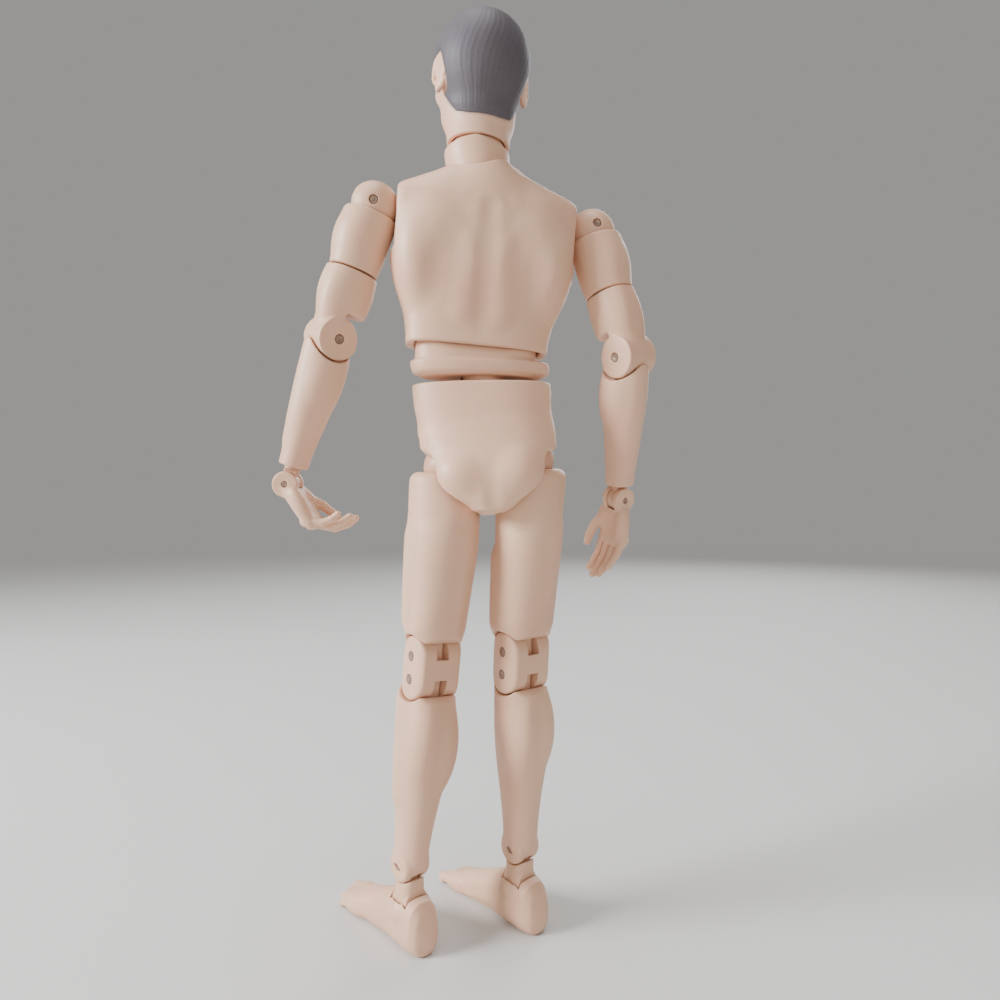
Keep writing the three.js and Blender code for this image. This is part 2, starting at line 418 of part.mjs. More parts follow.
// pelvis shells, open for hubs, thighs and the waist post
let hips = loft(pelvisSkin, 24, 1)
for (const [room, s, postM] of thighRooms) {
  const swung = sweep(sweep(room, 'y', 0, s > 0 ? -36 : 36, 18).transform([...new THREE.Matrix4().makeRotationFromQuaternion(
    new THREE.Quaternion().setFromRotationMatrix(pelvisM.clone().invert().multiply(postM))).elements]), 'x', -90, 14, 13)
  hips = hips.subtract(swung.translate(hipAt(s))).subtract(ball(HIP_R + GAP).translate(hipAt(s)))
    .subtract(union([rod('x', 2.5 + FIT, 7, 12).translate([s * (HIP_X - HIP_R - 1), 0, 0]),
      rod('x', 3.8 + FIT, 1.6 + 2 * FIT, 12).translate([s * (HIP_X - HIP_R - 2.6), 0, 0])]))
}
const postRoom = from(to(union([rod('z', 2.8 + GAP, 12, 12).translate([0, 0, -8]),
  rod('z', 4.6 + GAP, 2.2 + 2 * GAP, 12).translate([0, 0, -12.9]), ball(4.4 + GAP, 14, 8),
  rod('z', 8.2, 15, 18).translate([0, 0, 4.1]), block(80, 60, 20).translate([0, 0, 14]).rotate([0, 0.8, 0])]), waistM), pelvisM)
hips = hips.subtract(postRoom)
put('pelvis_front', pelvis, hips.intersect(frontHalf), skin)
put('pelvis_back', pelvis, hips.intersect(backHalf), skin)

// ---------------------------------------------------------------------- neck
const neckStem = union([ball(4, 12, 8), rod('z', 2.2, 20, 12).translate([0, 0, 11]), rod('z', 3.8, 2.6, 12).translate([0, 0, 21.6])])
const headRel = point(neckM.clone().invert(), HEAD_PIVOT)
const neckBody = union([ball(9.5, 18, 10), loft(neckSections, 20, 1),
  ball(9, 18, 10).translate(headRel)])
  .subtract(ball(4 + GAP, 12, 8).translate(headRel))
  .subtract(to(rod('z', 2.9, 8, 14, 5.4).translate([0, 0, 6.2]), neckM.clone().invert().multiply(tiltM)))
put('neck', neck, neckBody, skin)
put('neck_peg', headTilt, neckStem, peg)

// ---------------------------------------------------------------------- head
const headSections = [
  [3.4, 10.1, 9.4, 10.0, 0, 0, 2], [7.5, 10.3, 10.6, 10.2, 0, -0.4, 2], [10.5, 10.9, 13.6, 10.8, 0, -1, 2.1],
  [14, 11.8, 15.2, 12.2, 0, -1, 2.2], [20, 12.9, 15.6, 14.8, 0, -1, 2.2], [27, 14.0, 15.6, 16.8, 0, -1, 2.2],
  [32, 14.6, 15.2, 16.8, 0, -1, 2.1], [36.6, 13.7, 13.6, 15.0, 0, -1, 2.1], [40.4, 11.2, 11.4, 11.4, 0, -1, 2.1],
  [43.3, 7.2, 7.8, 7.2, 0, -1, 2.1], [44.8, 2.6, 2.8, 2.6, 0, -1, 2]]
const headBody = union([loft(headSections, 20, 1),
  egg(2.0, 2.6, 4.2, 8, 6).translate([0, -16.4, 21.4]),
  egg(1.5, 3.0, 5.0, 8, 6).rotate([-8, 0, 0]).translate([14.0, 0.6, 21.6]),
  egg(1.5, 3.0, 5.0, 8, 6).rotate([-8, 0, 0]).translate([-14.0, 0.6, 21.6])])
  .subtract(ball(9 + GAP, 18, 10))
  .subtract(sweep(rod('z', 10.6, 8, 24).translate([0, 0, -1.6]), 'x', 0, 0))
  .subtract(union([rod('z', 2.2 + GAP, 20, 12).translate([0, 0, 13]), rod('z', 3.8 + GAP, 2.6 + 2 * GAP, 12).translate([0, 0, 21.6])]))
put('head', head, headBody, hair)

// ---------------------------------------------------------------------- arms
const deltoid = [[SWIVEL_Z, 7.6, 7.4, 7.6, 0, 0, 2.1], [-16, 8.3, 8.0, 8.2, 0.2, 0, 2.1], [-10, 8.7, 8.5, 8.6, 0.5, 0, 2.1],
  [-5, 8.7, 8.6, 8.7, 0.7, 0, 2.1], [-2.6, 8.5, 8.4, 8.5, 0.8, 0, 2.1]]
const biceps = [[-46, 6.2, 6.2, 6.2, 0, 0, 2.2], [-41, 6.5, 6.6, 6.6, 0, 0, 2.2], [-34, 6.9, 7.2, 7.0, 0, 0, 2.1],
  [-27, 7.4, 7.6, 7.5, 0, 0, 2.1], [SWIVEL_Z - GAP, 7.6, 7.7, 7.7, 0, 0, 2.1]]
const forearmSections = [[-42.2, 4.7, 4.5, 4.5, 0, 0, 2.2], [-36, 5.0, 4.9, 4.9, 0, 0, 2.2], [-27, 5.8, 6.1, 6.0, 0, 0, 2.1],
  [-17, 6.5, 7.2, 6.9, 0, -0.2, 2.1], [-9, 6.8, 7.5, 7.2, 0, -0.2, 2.1], [-2, 6.6, 7.2, 6.9, 0, 0, 2.2], [2.5, 6.4, 6.9, 6.6, 0, 0, 2.2]]
for (const [side, s] of [['L', 1], ['R', -1]]) {
  const word = side === 'L' ? 'left' : 'right'
  const at = point(chestM, [s * SHOULDER[0], SHOULDER[1], SHOULDER[2]])
  const elbow = ELBOW[side], wrist = WRIST[side]
  const hubM = hinged(at, less(at, elbow), axisX(chestM))
  const armM = frame(at, less(at, elbow), axisX(chestM))
  const bicepM = frame(elbow, less(at, elbow), ELBOW_AXIS[side])
  const foreM = frame(elbow, less(elbow, wrist), ELBOW_AXIS[side])
  const pegM = frame(wrist, less(elbow, wrist), WRIST_AXIS[side])
  const handM = pegM.clone().multiply(new THREE.Matrix4().makeRotationX(-THREE.MathUtils.degToRad(HAND_BEND[side])))
  const hub = joint(`${word}_arm_swing`, chest, hubM)
  const arm = joint(`${word}_arm_raise`, hub, armM)
  const bicep = joint(`${word}_arm_swivel`, arm, bicepM)
  const fore = joint(`${word}_elbow`, bicep, foreM)
  const wristPeg = joint(`${word}_wrist_turn`, fore, pegM)
  const hand = joint(`${word}_wrist_bend`, wristPeg, handM)

  const armLong = vec(less(at, elbow)).length()
  const slot = union([rod('y', 5.2 + GAP, 4.8 + 2 * GAP, 14),
    pie('y', 3.3 + GAP, 4.8 + 2 * GAP, 13, s > 0 ? -78 : -10, s > 0 ? 10 : 78)])
  const hubBody = union([ball(SHOULDER_R), rod('x', 2.6, 8.6, 12).translate([-s * (SHOULDER_R + 3.2), 0, 0]),
    rod('x', 4.2, 2.4, 12).translate([-s * (SHOULDER[0] - 21.4), 0, 0])])
    .subtract(to(slot, hubM.clone().invert().multiply(armM)))
    .subtract(rod('y', 1.3 + FIT, 14.8, 8))
  put(`${word}_shoulder_hub`, hub, hubBody, skin)
  put(`${word}_shoulder_pin`, hub, rod('y', 1.3, 14.2, 8), steel)

  const armBody = loft(deltoid.map(v => [...v.slice(0, 4), v[4] * s, v[5], v[6]]), 18, 1)
    .subtract(ball(SHOULDER_R + GAP))
    .add(union([rod('y', 5.2, 4.8, 14), block(6.6, 4.8, 12).translate([0, 0, -6])]))
    .add(rod('z', 2.8, 9, 12).translate([0, 0, SWIVEL_Z - 4]))
    .add(rod('z', 4.0, 1.8, 12).translate([0, 0, SWIVEL_Z - 8.2]))
    .subtract(rod('y', 1.3 + GAP, 12, 8))
  put(`${word}_upper_arm`, arm, armBody, skin)

  const twist = bicepM.clone().invert().multiply(armM)
  const grade = (armLong + SWIVEL_Z) / (44.7 + SWIVEL_Z)
  const sections = biceps.map(v => [v[0] < SWIVEL_Z - 1 ? SWIVEL_Z + (v[0] - SWIVEL_Z) * grade + armLong : v[0] + armLong, ...v.slice(1)])
  const frontCut = block(24, 20, 20).translate([0, -10, 10]).rotate([28, 0, 0])   // clears the flexed arm
  const foreShape = m => m.subtract(frontCut.translate([0, 0, -1]))
  const flexed = vec(less(at, elbow)).angleTo(vec(less(elbow, wrist))) * 180 / Math.PI
  const elbowSlot = union([rod('x', 4.6 + GAP, 4.6 + 2 * GAP, 14), pie('x', 2.7 + GAP, 4.6 + 2 * GAP, 12, flexed - 94, flexed + 4)])
  const foreRel = bicepM.clone().invert().multiply(foreM)
  const bicepBody = loft(sections, 18, 1)
    .subtract(block(30, 30, 20).translate([0, 0, -10]).subtract(rod('x', ELBOW_R, 30, 22)))
    .add(rod('x', ELBOW_R, 12.2, 22))
    .subtract(block(30, 14, 8.2).translate([0, -7, 4.1]).subtract(rod('x', ELBOW_R, 40, 22)))
    .subtract(to(elbowSlot, foreRel)).subtract(rod('x', 1.4 + FIT, 20, 8))
    .subtract(union([rod('z', 2.8 + GAP, 10, 12).translate([0, 0, armLong + SWIVEL_Z - 4]),
      rod('z', 4.0 + GAP, 1.8 + 2 * GAP, 12).translate([0, 0, armLong + SWIVEL_Z - 8.2])]))
  put(`${word}_bicep`, bicep, bicepBody, skin)
  put(`${word}_elbow_pin`, bicep, rod('x', 1.4, 12.4, 8), steel)

  const foreBody = foreShape(loft(forearmSections, 18, 1)).subtract(rod('x', ELBOW_R + GAP + 0.2, 30, 22))
    .subtract(block(30, 30, 12).translate([0, 0, 6.6]))
    .add(union([rod('x', 4.6, 4.6, 14), block(4.6, 5.4, 10).translate([0, 0, -5])]))
    .subtract(rod('x', 1.4 + GAP, 20, 8))
    .subtract(rod('z', 2.3 + GAP, 11, 12).translate([0, 0, -37.5]))
  put(`${word}_forearm`, fore, foreBody, skin)

  const pegBody = union([rod('x', 3.8, 2.8, 14), block(2.8, 4.4, 4).translate([0, 0, 3.4]), rod('z', 2.3, 8.6, 12).translate([0, 0, 9.2])])
    .subtract(rod('x', 0.9 + GAP, 6, 8))
  put(`${word}_wrist_peg`, wristPeg, pegBody, peg)

  // hand: two cheeks on the peg's disc, palm towards -Y, fingers half closed
  const palm = loft([[-PALM - 0.6, 5.9, 2.0, 2.0, 0, -0.8, 2.6], [-PALM + 1.5, 6.4, 2.5, 2.4, 0, -0.5, 2.8],
    [-8, 6.1, 2.8, 2.7, 0, -0.2, 2.6], [-4, 5.0, 2.8, 2.8, 0, 0, 2.4], [0, 3.7, 2.9, 2.9, 0, 0, 2.2]], 14, 1)
  const fingers = loft([[-FINGERS, 3.4, 1.0, 1.0, 0, 0, 2.6], [-FINGERS + 1.2, 4.8, 1.6, 1.6, 0, 0, 2.8],
    [-6, 5.7, 1.9, 1.9, 0, 0, 2.8], [-0.5, 6.0, 2.1, 2.1, 0, 0, 2.8], [1.2, 5.4, 1.4, 1.4, 0, 0, 2.6]], 14, 1)
    .rotate([-CURL[side], 0, 0]).translate([0, -0.7, -PALM])
  const thumb = loft([[-9.5, 1.3, 1.3, 1.3, 0, 0, 2], [-7, 1.8, 1.8, 1.8, 0, 0, 2], [-3, 1.9, 2.0, 2.0, 0, 0, 2], [1, 2.2, 2.2, 2.2, 0, 0, 2]], 8, 1)
    .rotate([-26, s > 0 ? -14 : 14, 0]).translate([s * 4.4, -1.6, -7.4])
  const handBody = union([palm, fingers, thumb, rod('x', 4.1, 7.4, 14)])
    .subtract(rod('x', 4.1 + 0.25, 2.8 + 2 * GAP, 14)).subtract(rod('x', 0.9 + FIT, 12, 8))
  put(`${word}_hand`, hand, handBody, skin)
  put(`${word}_wrist_pin`, hand, rod('x', 0.9, 7.0, 8), steel)
}

export default figure
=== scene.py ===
"""Looks of a posable one sixth scale figure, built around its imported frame.

Each visible piece is a distance field in millimetres, in the axes of its own joint,
meshed on a fine grid and laid over the solid that it stands for.
"""
import math

import bpy
import numpy as np
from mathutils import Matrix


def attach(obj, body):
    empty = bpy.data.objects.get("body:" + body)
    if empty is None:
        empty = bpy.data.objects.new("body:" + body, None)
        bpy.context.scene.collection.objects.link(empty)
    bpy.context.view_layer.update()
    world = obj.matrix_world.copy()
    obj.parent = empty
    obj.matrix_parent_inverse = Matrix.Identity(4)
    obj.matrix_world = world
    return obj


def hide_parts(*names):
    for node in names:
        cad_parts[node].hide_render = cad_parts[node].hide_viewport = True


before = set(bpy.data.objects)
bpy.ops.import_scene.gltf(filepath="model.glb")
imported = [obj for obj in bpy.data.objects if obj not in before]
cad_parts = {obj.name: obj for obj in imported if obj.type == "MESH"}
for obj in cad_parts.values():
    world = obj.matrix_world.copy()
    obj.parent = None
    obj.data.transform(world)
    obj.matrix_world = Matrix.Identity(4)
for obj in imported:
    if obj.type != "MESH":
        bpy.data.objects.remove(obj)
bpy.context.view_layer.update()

# ------------------------------------------------------------------ dimensions
GAP, FIT = 0.4, 0.3
ORIGIN = np.array([6.083, -11.317, 0.0])
PELVIS_AT, PELVIS_ROLL = (-1.2, 0, 150.5), 5.5
CHEST_AT, CHEST_ROLL, CHEST_YAW = (1.0, 0, 213), -4, 8
HIP_X, HIP_R = 12.8, 8.0
SHOULDER, SHOULDER_R = (34.9, 0, 15.2), 7.6
WAIST_PIVOT = (0.8, 0, 171.6)
CHEST_PIVOT_Z, CHEST_PIVOT_R = -31, 9.5
NECK_PIVOT, HEAD_PIVOT = (1.6, 1.5, 237.5), (2.4, 0.8, 247.5)
HEAD_TURN, HEAD_TILT = 14, -3
ELBOW = {1: (48.3, 3.5, 189.9), -1: (-45.8, -1, 184.9)}
WRIST = {1: (62.7, 0.5, 144.1), -1: (-44.8, -14, 139.6)}
ELBOW_AXIS = {1: (0.66, -0.75, 0), -1: (0.78, 0.6, -0.16)}
WRIST_AXIS = {1: (0, -1, 0), -1: (-0.5, 0.87, 0)}
HAND_BEND = {1: 50, -1: 3}
CURL = {1: 66, -1: 24}
SWIVEL_Z, ELBOW_R = -21.2, 6.6
PALM = 14.5
KNEE = {1: (16.9, 2.0, 86.4), -1: (-11.6, -4, 87.2)}
ANKLE = {1: (23.6, 3.4, 25.2), -1: (-11.3, -8.0, 25.2)}
LEG_YAW, FOOT_YAW, KNEE_PITCH, KNEE_R, KNEE_TONGUE = 38, 42, 7.2, 6.3, 3.6
ANKLE_R, ANKLE_DROP = 5.4, 11.2
FOOT_LONG, HEEL_BACK = 49.0, 10.0
EDGE = 0.45                      # rounding of the moulded edges

# ---------------------------------------------------------------------- frames


def unit(v):
    v = np.asarray(v, float)
    return v / np.linalg.norm(v)


def basis(x, y, z, at):
    m = np.eye(4)
    m[:3, 0], m[:3, 1], m[:3, 2], m[:3, 3] = x, y, z, at
    return m


def frame_at(at, up, side):
    z = unit(up)
    x = unit(np.asarray(side, float) - z * np.dot(side, z))
    return basis(x, np.cross(z, x), z, at)


def hinged(at, up, side):
    x = unit(side)
    z = unit(np.asarray(up, float) - x * np.dot(up, x))
    return basis(x, np.cross(z, x), z, at)


def turn(axis, degrees):
    a = math.radians(degrees)
    c, s = math.cos(a), math.sin(a)
    m = np.eye(4)
    i, j = {"x": (1, 2), "y": (2, 0), "z": (0, 1)}[axis]
    m[i, i], m[i, j], m[j, i], m[j, j] = c, -s, s, c
    return m


def shift(x, y, z):
    m = np.eye(4)
    m[:3, 3] = x, y, z
    return m


def rolled(at, roll, yaw=0):
    return shift(*at) @ turn("z", yaw) @ turn("y", roll)


def less(a, b):
    return np.asarray(a, float) - np.asarray(b, float)


def apply(m, p):
    return np.asarray(p, float) @ m[:3, :3].T + m[:3, 3]


def inv(m):
    return np.linalg.inv(m)


# ------------------------------------------------------------- distance fields


def smin(a, b, k):
    if k <= 0:
        return np.minimum(a, b)
    h = np.clip(0.5 + 0.5 * (b - a) / k, 0, 1)
    return b + (a - b) * h - k * h * (1 - h)


def smax(a, b, k):
    return -smin(-a, -b, k)


def cut(a, b, k=EDGE):
    return smax(a, -b, k)


def mirror(p):
    q = p.copy()
    q[:, 0] = np.abs(q[:, 0])
    return q


def ell(p, c, r, rot=None):
    q = p - np.asarray(c, float)
    if rot is not None:
        q = q @ rot[:3, :3]
    r = np.asarray(r, float)
    k0 = np.sqrt(((q / r) ** 2).sum(1)) + 1e-9
    k1 = np.sqrt(((q / (r * r)) ** 2).sum(1)) + 1e-9
    return k0 * (k0 - 1) / k1


def cap(p, a, b, ra, rb=None):
    a, b = np.asarray(a, float), np.asarray(b, float)
    rb = ra if rb is None else rb
    ab = b - a
    t = np.clip((p - a) @ ab / (ab @ ab), 0, 1)
    return np.sqrt(((p - a - t[:, None] * ab) ** 2).sum(1)) - (ra + (rb - ra) * t)


def chain(p, points, radii, k=0.6):
    d = None
    for i in range(len(points) - 1):
        e = cap(p, points[i], points[i + 1], radii[i], radii[i + 1])
        d = e if d is None else smin(d, e, k)
    return d


def ball(p, r, c=(0, 0, 0)):
    return np.sqrt(((p - np.asarray(c, float)) ** 2).sum(1)) - r


def rod(p, axis, r, length, c=(0, 0, 0), k=0.0, r2=None):
    """A rod along x, y or z, centred on c. r2 is its radius at the high end."""
    q = p - np.asarray(c, float)
    i = "xyz".index(axis)
    along = q[:, i]
    rad = np.sqrt(np.maximum((q ** 2).sum(1) - along ** 2, 0))
    rr = r if r2 is None else r + (r2 - r) * np.clip(along / length + 0.5, 0, 1)
    return smax(rad - rr, np.abs(along) - length / 2, k)


def box(p, size, c=(0, 0, 0), k=0.0):
    q = np.abs(p - np.asarray(c, float)) - np.asarray(size, float) / 2
    return smax(smax(q[:, 0], q[:, 1], k), q[:, 2], k)


def table(sections, sub=12):
    rows = []
    n = len(sections)
    full = [list(s) + [0, 0, 2.2][len(s) - 4:] if len(s) < 7 else list(s) for s in sections]

    def get(i):
        return full[min(max(i, 0), n - 1)]

    for i in range(n - 1):
        for j in range(sub):
            t = j / sub
            p0, p1, p2, p3 = get(i - 1), get(i), get(i + 1), get(i + 2)
            row = [p1[0] + (p2[0] - p1[0]) * t]
            for k in range(1, 7):
                row.append(0.5 * (2 * p1[k] + (p2[k] - p0[k]) * t + (2 * p0[k] - 5 * p1[k] + 4 * p2[k] - p3[k]) * t * t
                                  + (3 * p1[k] - p0[k] - 3 * p2[k] + p3[k]) * t ** 3))
            rows.append(row)
    rows.append(full[-1])
    return np.array(rows, float)


def loft(p, t, k=0.8, grow=0.0):
    """A body through level sections [z, half width, front, back, x, y, squareness]."""
    z = p[:, 2]
    a, f, b, cx, cy, q = (np.interp(z, t[:, 0], t[:, i]) for i in range(1, 7))
    x, y = p[:, 0] - cx, p[:, 1] - cy
    half = np.where(y > 0, b, f)
    r = np.sqrt(x * x + y * y) + 1e-9
    g = ((np.abs(x) / a) ** q + (np.abs(y) / half) ** q) ** (1 / q) + 1e-9
    d = r - r / g
    return smax(d - grow, np.maximum(z - t[-1, 0], t[0, 0] - z), k)


def pie(p, axis, w, thick, lo, hi, k=0.0):
    """The room of a stem of half width w, hanging down and swung about x or y between two angles."""
    q = p if axis == "x" else p[:, [1, 0, 2]] * np.array([1, -1, 1])
    # in the plane: u is the swing direction, v is down
    u, v = (q[:, 1], -q[:, 2])
    mid, half = math.radians((lo + hi) / 2), math.radians((hi - lo) / 2)
    c, s = math.cos(mid), math.sin(mid)
    down = v * c + u * s
    side = np.abs(u * c - v * s)
    # inside the wedge opened by half on both sides, widened by w
    if half < math.pi / 2:
        d = side * math.cos(half) - down * math.sin(half) - w
    else:
        d = -(down * math.sin(half) - side * math.cos(half)) - w
    core = np.sqrt(u * u + v * v) - w
    back = -down - w
    d = np.minimum(smax(d, back * 0.7, 0), core)
    return smax(d, np.abs(q[:, 0]) - thick / 2, k)


# --------------------------------------------------------------------- meshing
CORNER = np.array([(i, j, k) for i in (0, 1) for j in (0, 1) for k in (0, 1)])
EDGES = [(a, b) for a in range(8) for b in range(a + 1, 8) if np.abs(CORNER[a] - CORNER[b]).sum() == 1]
STATS = []


def skin_of(field, lo, hi, h):
    """Vertices and quads of the surface field = 0, on a grid of step h, refined onto the surface."""
    lo, hi = np.asarray(lo, float) - 2 * h, np.asarray(hi, float) + 2 * h
    B = 4
    blocks = np.ceil((hi - lo) / (h * B)).astype(int) + 1
    ci = np.stack(np.meshgrid(*[np.arange(n) for n in blocks], indexing="ij"), -1).reshape(-1, 3)
    centre = lo + (ci * B + (B - 1) / 2) * h
    far = field(centre)
    reach = h * B * 0.87 * 1.7 + 0.8
    near = np.abs(far) < reach
    vol = np.where(far < 0, -1.0, 1.0).reshape(blocks)
    for ax in range(3):
        vol = np.repeat(vol, B, axis=ax)
    offs = np.stack(np.meshgrid(*[np.arange(B)] * 3, indexing="ij"), -1).reshape(-1, 3)
    act = ci[near]
    for s in range(0, len(act), 6000):
        idx = (act[s:s + 6000, None, :] * B + offs).reshape(-1, 3)
        vol[idx[:, 0], idx[:, 1], idx[:, 2]] = field(lo + idx * h)
    ins = vol < 0
    n = np.array(vol.shape) - 1
    count = np.zeros(n, np.int8)
    for c in CORNER:
        count += ins[c[0]:c[0] + n[0], c[1]:c[1] + n[1], c[2]:c[2] + n[2]]
    cells = np.argwhere((count > 0) & (count < 8))
    val = np.stack([vol[cells[:, 0] + c[0], cells[:, 1] + c[1], cells[:, 2] + c[2]] for c in CORNER], 1)
    total, hits = np.zeros((len(cells), 3)), np.zeros(len(cells))
    for a, b in EDGES:
        va, vb = val[:, a], val[:, b]
        cross = (va < 0) != (vb < 0)
        t = np.where(cross, va / np.where(cross, va - vb, 1), 0)
        point = CORNER[a] + t[:, None] * (CORNER[b] - CORNER[a])
        total += point * cross[:, None]
        hits += cross
    verts = lo + (cells + total / hits[:, None]) * h
    number = np.full(n, -1, np.int32)
    number[cells[:, 0], cells[:, 1], cells[:, 2]] = np.arange(len(cells))
    quads = []
    for ax in range(3):
        u, v = (ax + 1) % 3, (ax + 2) % 3
        a = [slice(None)] * 3
        b = [slice(None)] * 3
        a[ax], b[ax] = slice(0, -1), slice(1, None)
        lo_in, hi_in = ins[tuple(a)], ins[tuple(b)]
        e = np.argwhere(lo_in != hi_in)
        e = e[(e[:, u] > 0) & (e[:, v] > 0) & (e[:, u] < n[u]) & (e[:, v] < n[v])]
        du, dv = np.zeros(3, int), np.zeros(3, int)
        du[u], dv[v] = 1, 1
        q = [e - du - dv, e - dv, e, e - du]
        ids = np.stack([number[c[:, 0], c[:, 1], c[:, 2]] for c in q], 1)
        flip = ~lo_in[e[:, 0], e[:, 1], e[:, 2]]
        ids[flip] = ids[flip][:, ::-1]
        quads.append(ids)
    quads = np.concatenate(quads)
    quads = quads[(quads >= 0).all(1)]
    eps = 0.04
    for _ in range(2):
        d = field(verts)
        g = np.stack([field(verts + np.eye(3)[i] * eps) - d for i in range(3)], 1) / eps
        g2 = (g ** 2).sum(1) + 1e-6
        step = np.clip(d / g2, -0.6 * h, 0.6 * h)
        move = step[:, None] * g
        far_move = np.sqrt((move ** 2).sum(1))
        move *= np.minimum(1, 0.6 * h / (far_move + 1e-9))[:, None]
        verts = verts - move
    return verts, quads


def biggest(verts, quads):
    """Keeps the largest connected skin: a cut can leave crumbs."""
    label = np.arange(len(verts))
    while True:
        low = label[quads].min(1)
        new = label.copy()
        np.minimum.at(new, quads.ravel(), np.repeat(low, 4))
        new = new[new]
        if (new == label).all():
            break
        label = new
    names, counts = np.unique(label[quads[:, 0]], return_counts=True)
    main = names[counts.argmax()]
    quads = quads[label[quads[:, 0]] == main]
    used = np.unique(quads)
    remap = np.full(len(verts), -1)
    remap[used] = np.arange(len(used))
    return verts[used], remap[quads]


def to_row(m, verts):
    return (apply(m, verts) - ORIGIN) / 1000.0


def add_mesh(name, verts, faces, marks=None):
    me = bpy.data.meshes.new(name)
    faces = np.asarray(faces, np.int32)
    per = faces.shape[1]
    me.vertices.add(len(verts))
    me.vertices.foreach_set("co", np.asarray(verts, np.float32).ravel())
    me.loops.add(faces.size)
    me.loops.foreach_set("vertex_index", faces.ravel())
    me.polygons.add(len(faces))
    me.polygons.foreach_set("loop_start", np.arange(len(faces), dtype=np.int32) * per)
    me.update(calc_edges=True)
    me.validate()
    me.polygons.foreach_set("use_smooth", np.ones(len(me.polygons), bool))
    for key, values in (marks or {}).items():
        at = me.attributes.new(key, "FLOAT", "POINT")
        at.data.foreach_set("value", np.asarray(values, np.float32))
    ob = bpy.data.objects.new(name, me)
    bpy.context.scene.collection.objects.link(ob)
    return ob


def piece(name, body, nodes, field, m, lo, hi, h, material, marks=None, keep_all=False):
    verts, quads = skin_of(field, lo, hi, h)
    if not keep_all:
        verts, quads = biggest(verts, quads)
    values = {k: f(verts) for k, f in (marks or {}).items()}
    ob = add_mesh(name, to_row(m, verts), quads, values)
    ob.data.materials.append(material)
    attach(ob, body)
    if nodes:
        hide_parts(*nodes)
    STATS.append((name, len(verts)))
    return ob


def lathe(name, body, nodes, m, axis, profile, material, sides=32):
    """A turned piece about x, y or z of m: profile is [(along, radius), ...], closed on the axis."""
    pts, faces = [], []
    ring = np.arange(sides) * 2 * math.pi / sides
    for along, r in profile:
        c, s = np.cos(ring) * r, np.sin(ring) * r
        z = np.full(sides, along)
        pts.append(np.stack({"x": (z, c, s), "y": (s, z, c), "z": (c, s, z)}[axis], 1))
    pts = np.concatenate(pts)
    for i in range(len(profile) - 1):
        for j in range(sides):
            k = (j + 1) % sides
            faces.append((i * sides + j, i * sides + k, (i + 1) * sides + k, (i + 1) * sides + j))
    low, high = len(pts), len(pts) + 1
    ends = np.zeros((2, 3))
    ends[0, "xyz".index(axis)], ends[1, "xyz".index(axis)] = profile[0][0], profile[-1][0]
    pts = np.concatenate([pts, ends])
    last = (len(profile) - 1) * sides
    me = bpy.data.meshes.new(name)
    tris = [(low, (j + 1) % sides, j) for j in range(sides)] + [(high, last + j, last + (j + 1) % sides) for j in range(sides)]
    me.from_pydata([tuple(v) for v in to_row(m, pts)], [], faces + tris)
    me.validate()
    me.polygons.foreach_set("use_smooth", np.ones(len(me.polygons), bool))
    me.set_sharp_from_angle(angle=math.radians(40))
    ob = bpy.data.objects.new(name, me)
    bpy.context.scene.collection.objects.link(ob)
    ob.data.materials.append(material)
    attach(ob, body)
    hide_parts(*nodes)
    return ob


def pin(name, body, node, m, axis, r, length, c=(0, 0, 0)):
    b = min(0.22, r * 0.25)
    m = m @ shift(*c)
    h = length / 2
    dimple = r * 0.42
    prof = [(-h + 0.15, dimple * 0.5), (-h, dimple), (-h, r - b), (-h + b, r), (h - b, r), (h, r - b), (h, dimple), (h - 0.15, dimple * 0.5)]
    return lathe(name, body, [node], m, axis, prof, PIN_MAT, 24)


# ------------------------------------------------------------------- materials


def new_material(name):
    mat = bpy.data.materials.new(name)
    mat.use_nodes = True
    nt = mat.node_tree
    nt.nodes.clear()
    out = nt.nodes.new("ShaderNodeOutputMaterial")
    bsdf = nt.nodes.new("ShaderNodeBsdfPrincipled")
    nt.links.new(bsdf.outputs[0], out.inputs[0])
    return mat, nt, bsdf


def node(nt, kind, **values):
    n = nt.nodes.new(kind)
    for k, v in values.items():
        if k.startswith("_"):
            setattr(n, k[1:], v)
        else:
            n.inputs[k.replace("__", " ")].default_value = v
    return n


def mix(nt, fac, a, b):
    n = nt.nodes.new("ShaderNodeMix")
    n.data_type = "RGBA"
    for slot_name, v in ((0, fac), (6, a), (7, b)):
        if isinstance(v, bpy.types.NodeSocket):
            nt.links.new(v, n.inputs[slot_name])
        else:
            n.inputs[slot_name].default_value = v
    return n.outputs[2]


def ramp(nt, value, stops):
    n = nt.nodes.new("ShaderNodeValToRGB")
    nt.links.new(value, n.inputs[0])
    e = n.color_ramp.elements
    while len(e) > 1:
        e.remove(e[-1])
    e[0].position, e[0].color = stops[0][0], (*[stops[0][1]] * 3, 1)
    for pos, v in stops[1:]:
        x = e.new(pos)
        x.color = (v, v, v, 1)
    return n.outputs[0]


def srgb(r, g, b):
    def lin(v):
        v /= 255
        return v / 12.92 if v <= 0.04045 else ((v + 0.055) / 1.055) ** 2.4
    return (lin(r), lin(g), lin(b), 1)


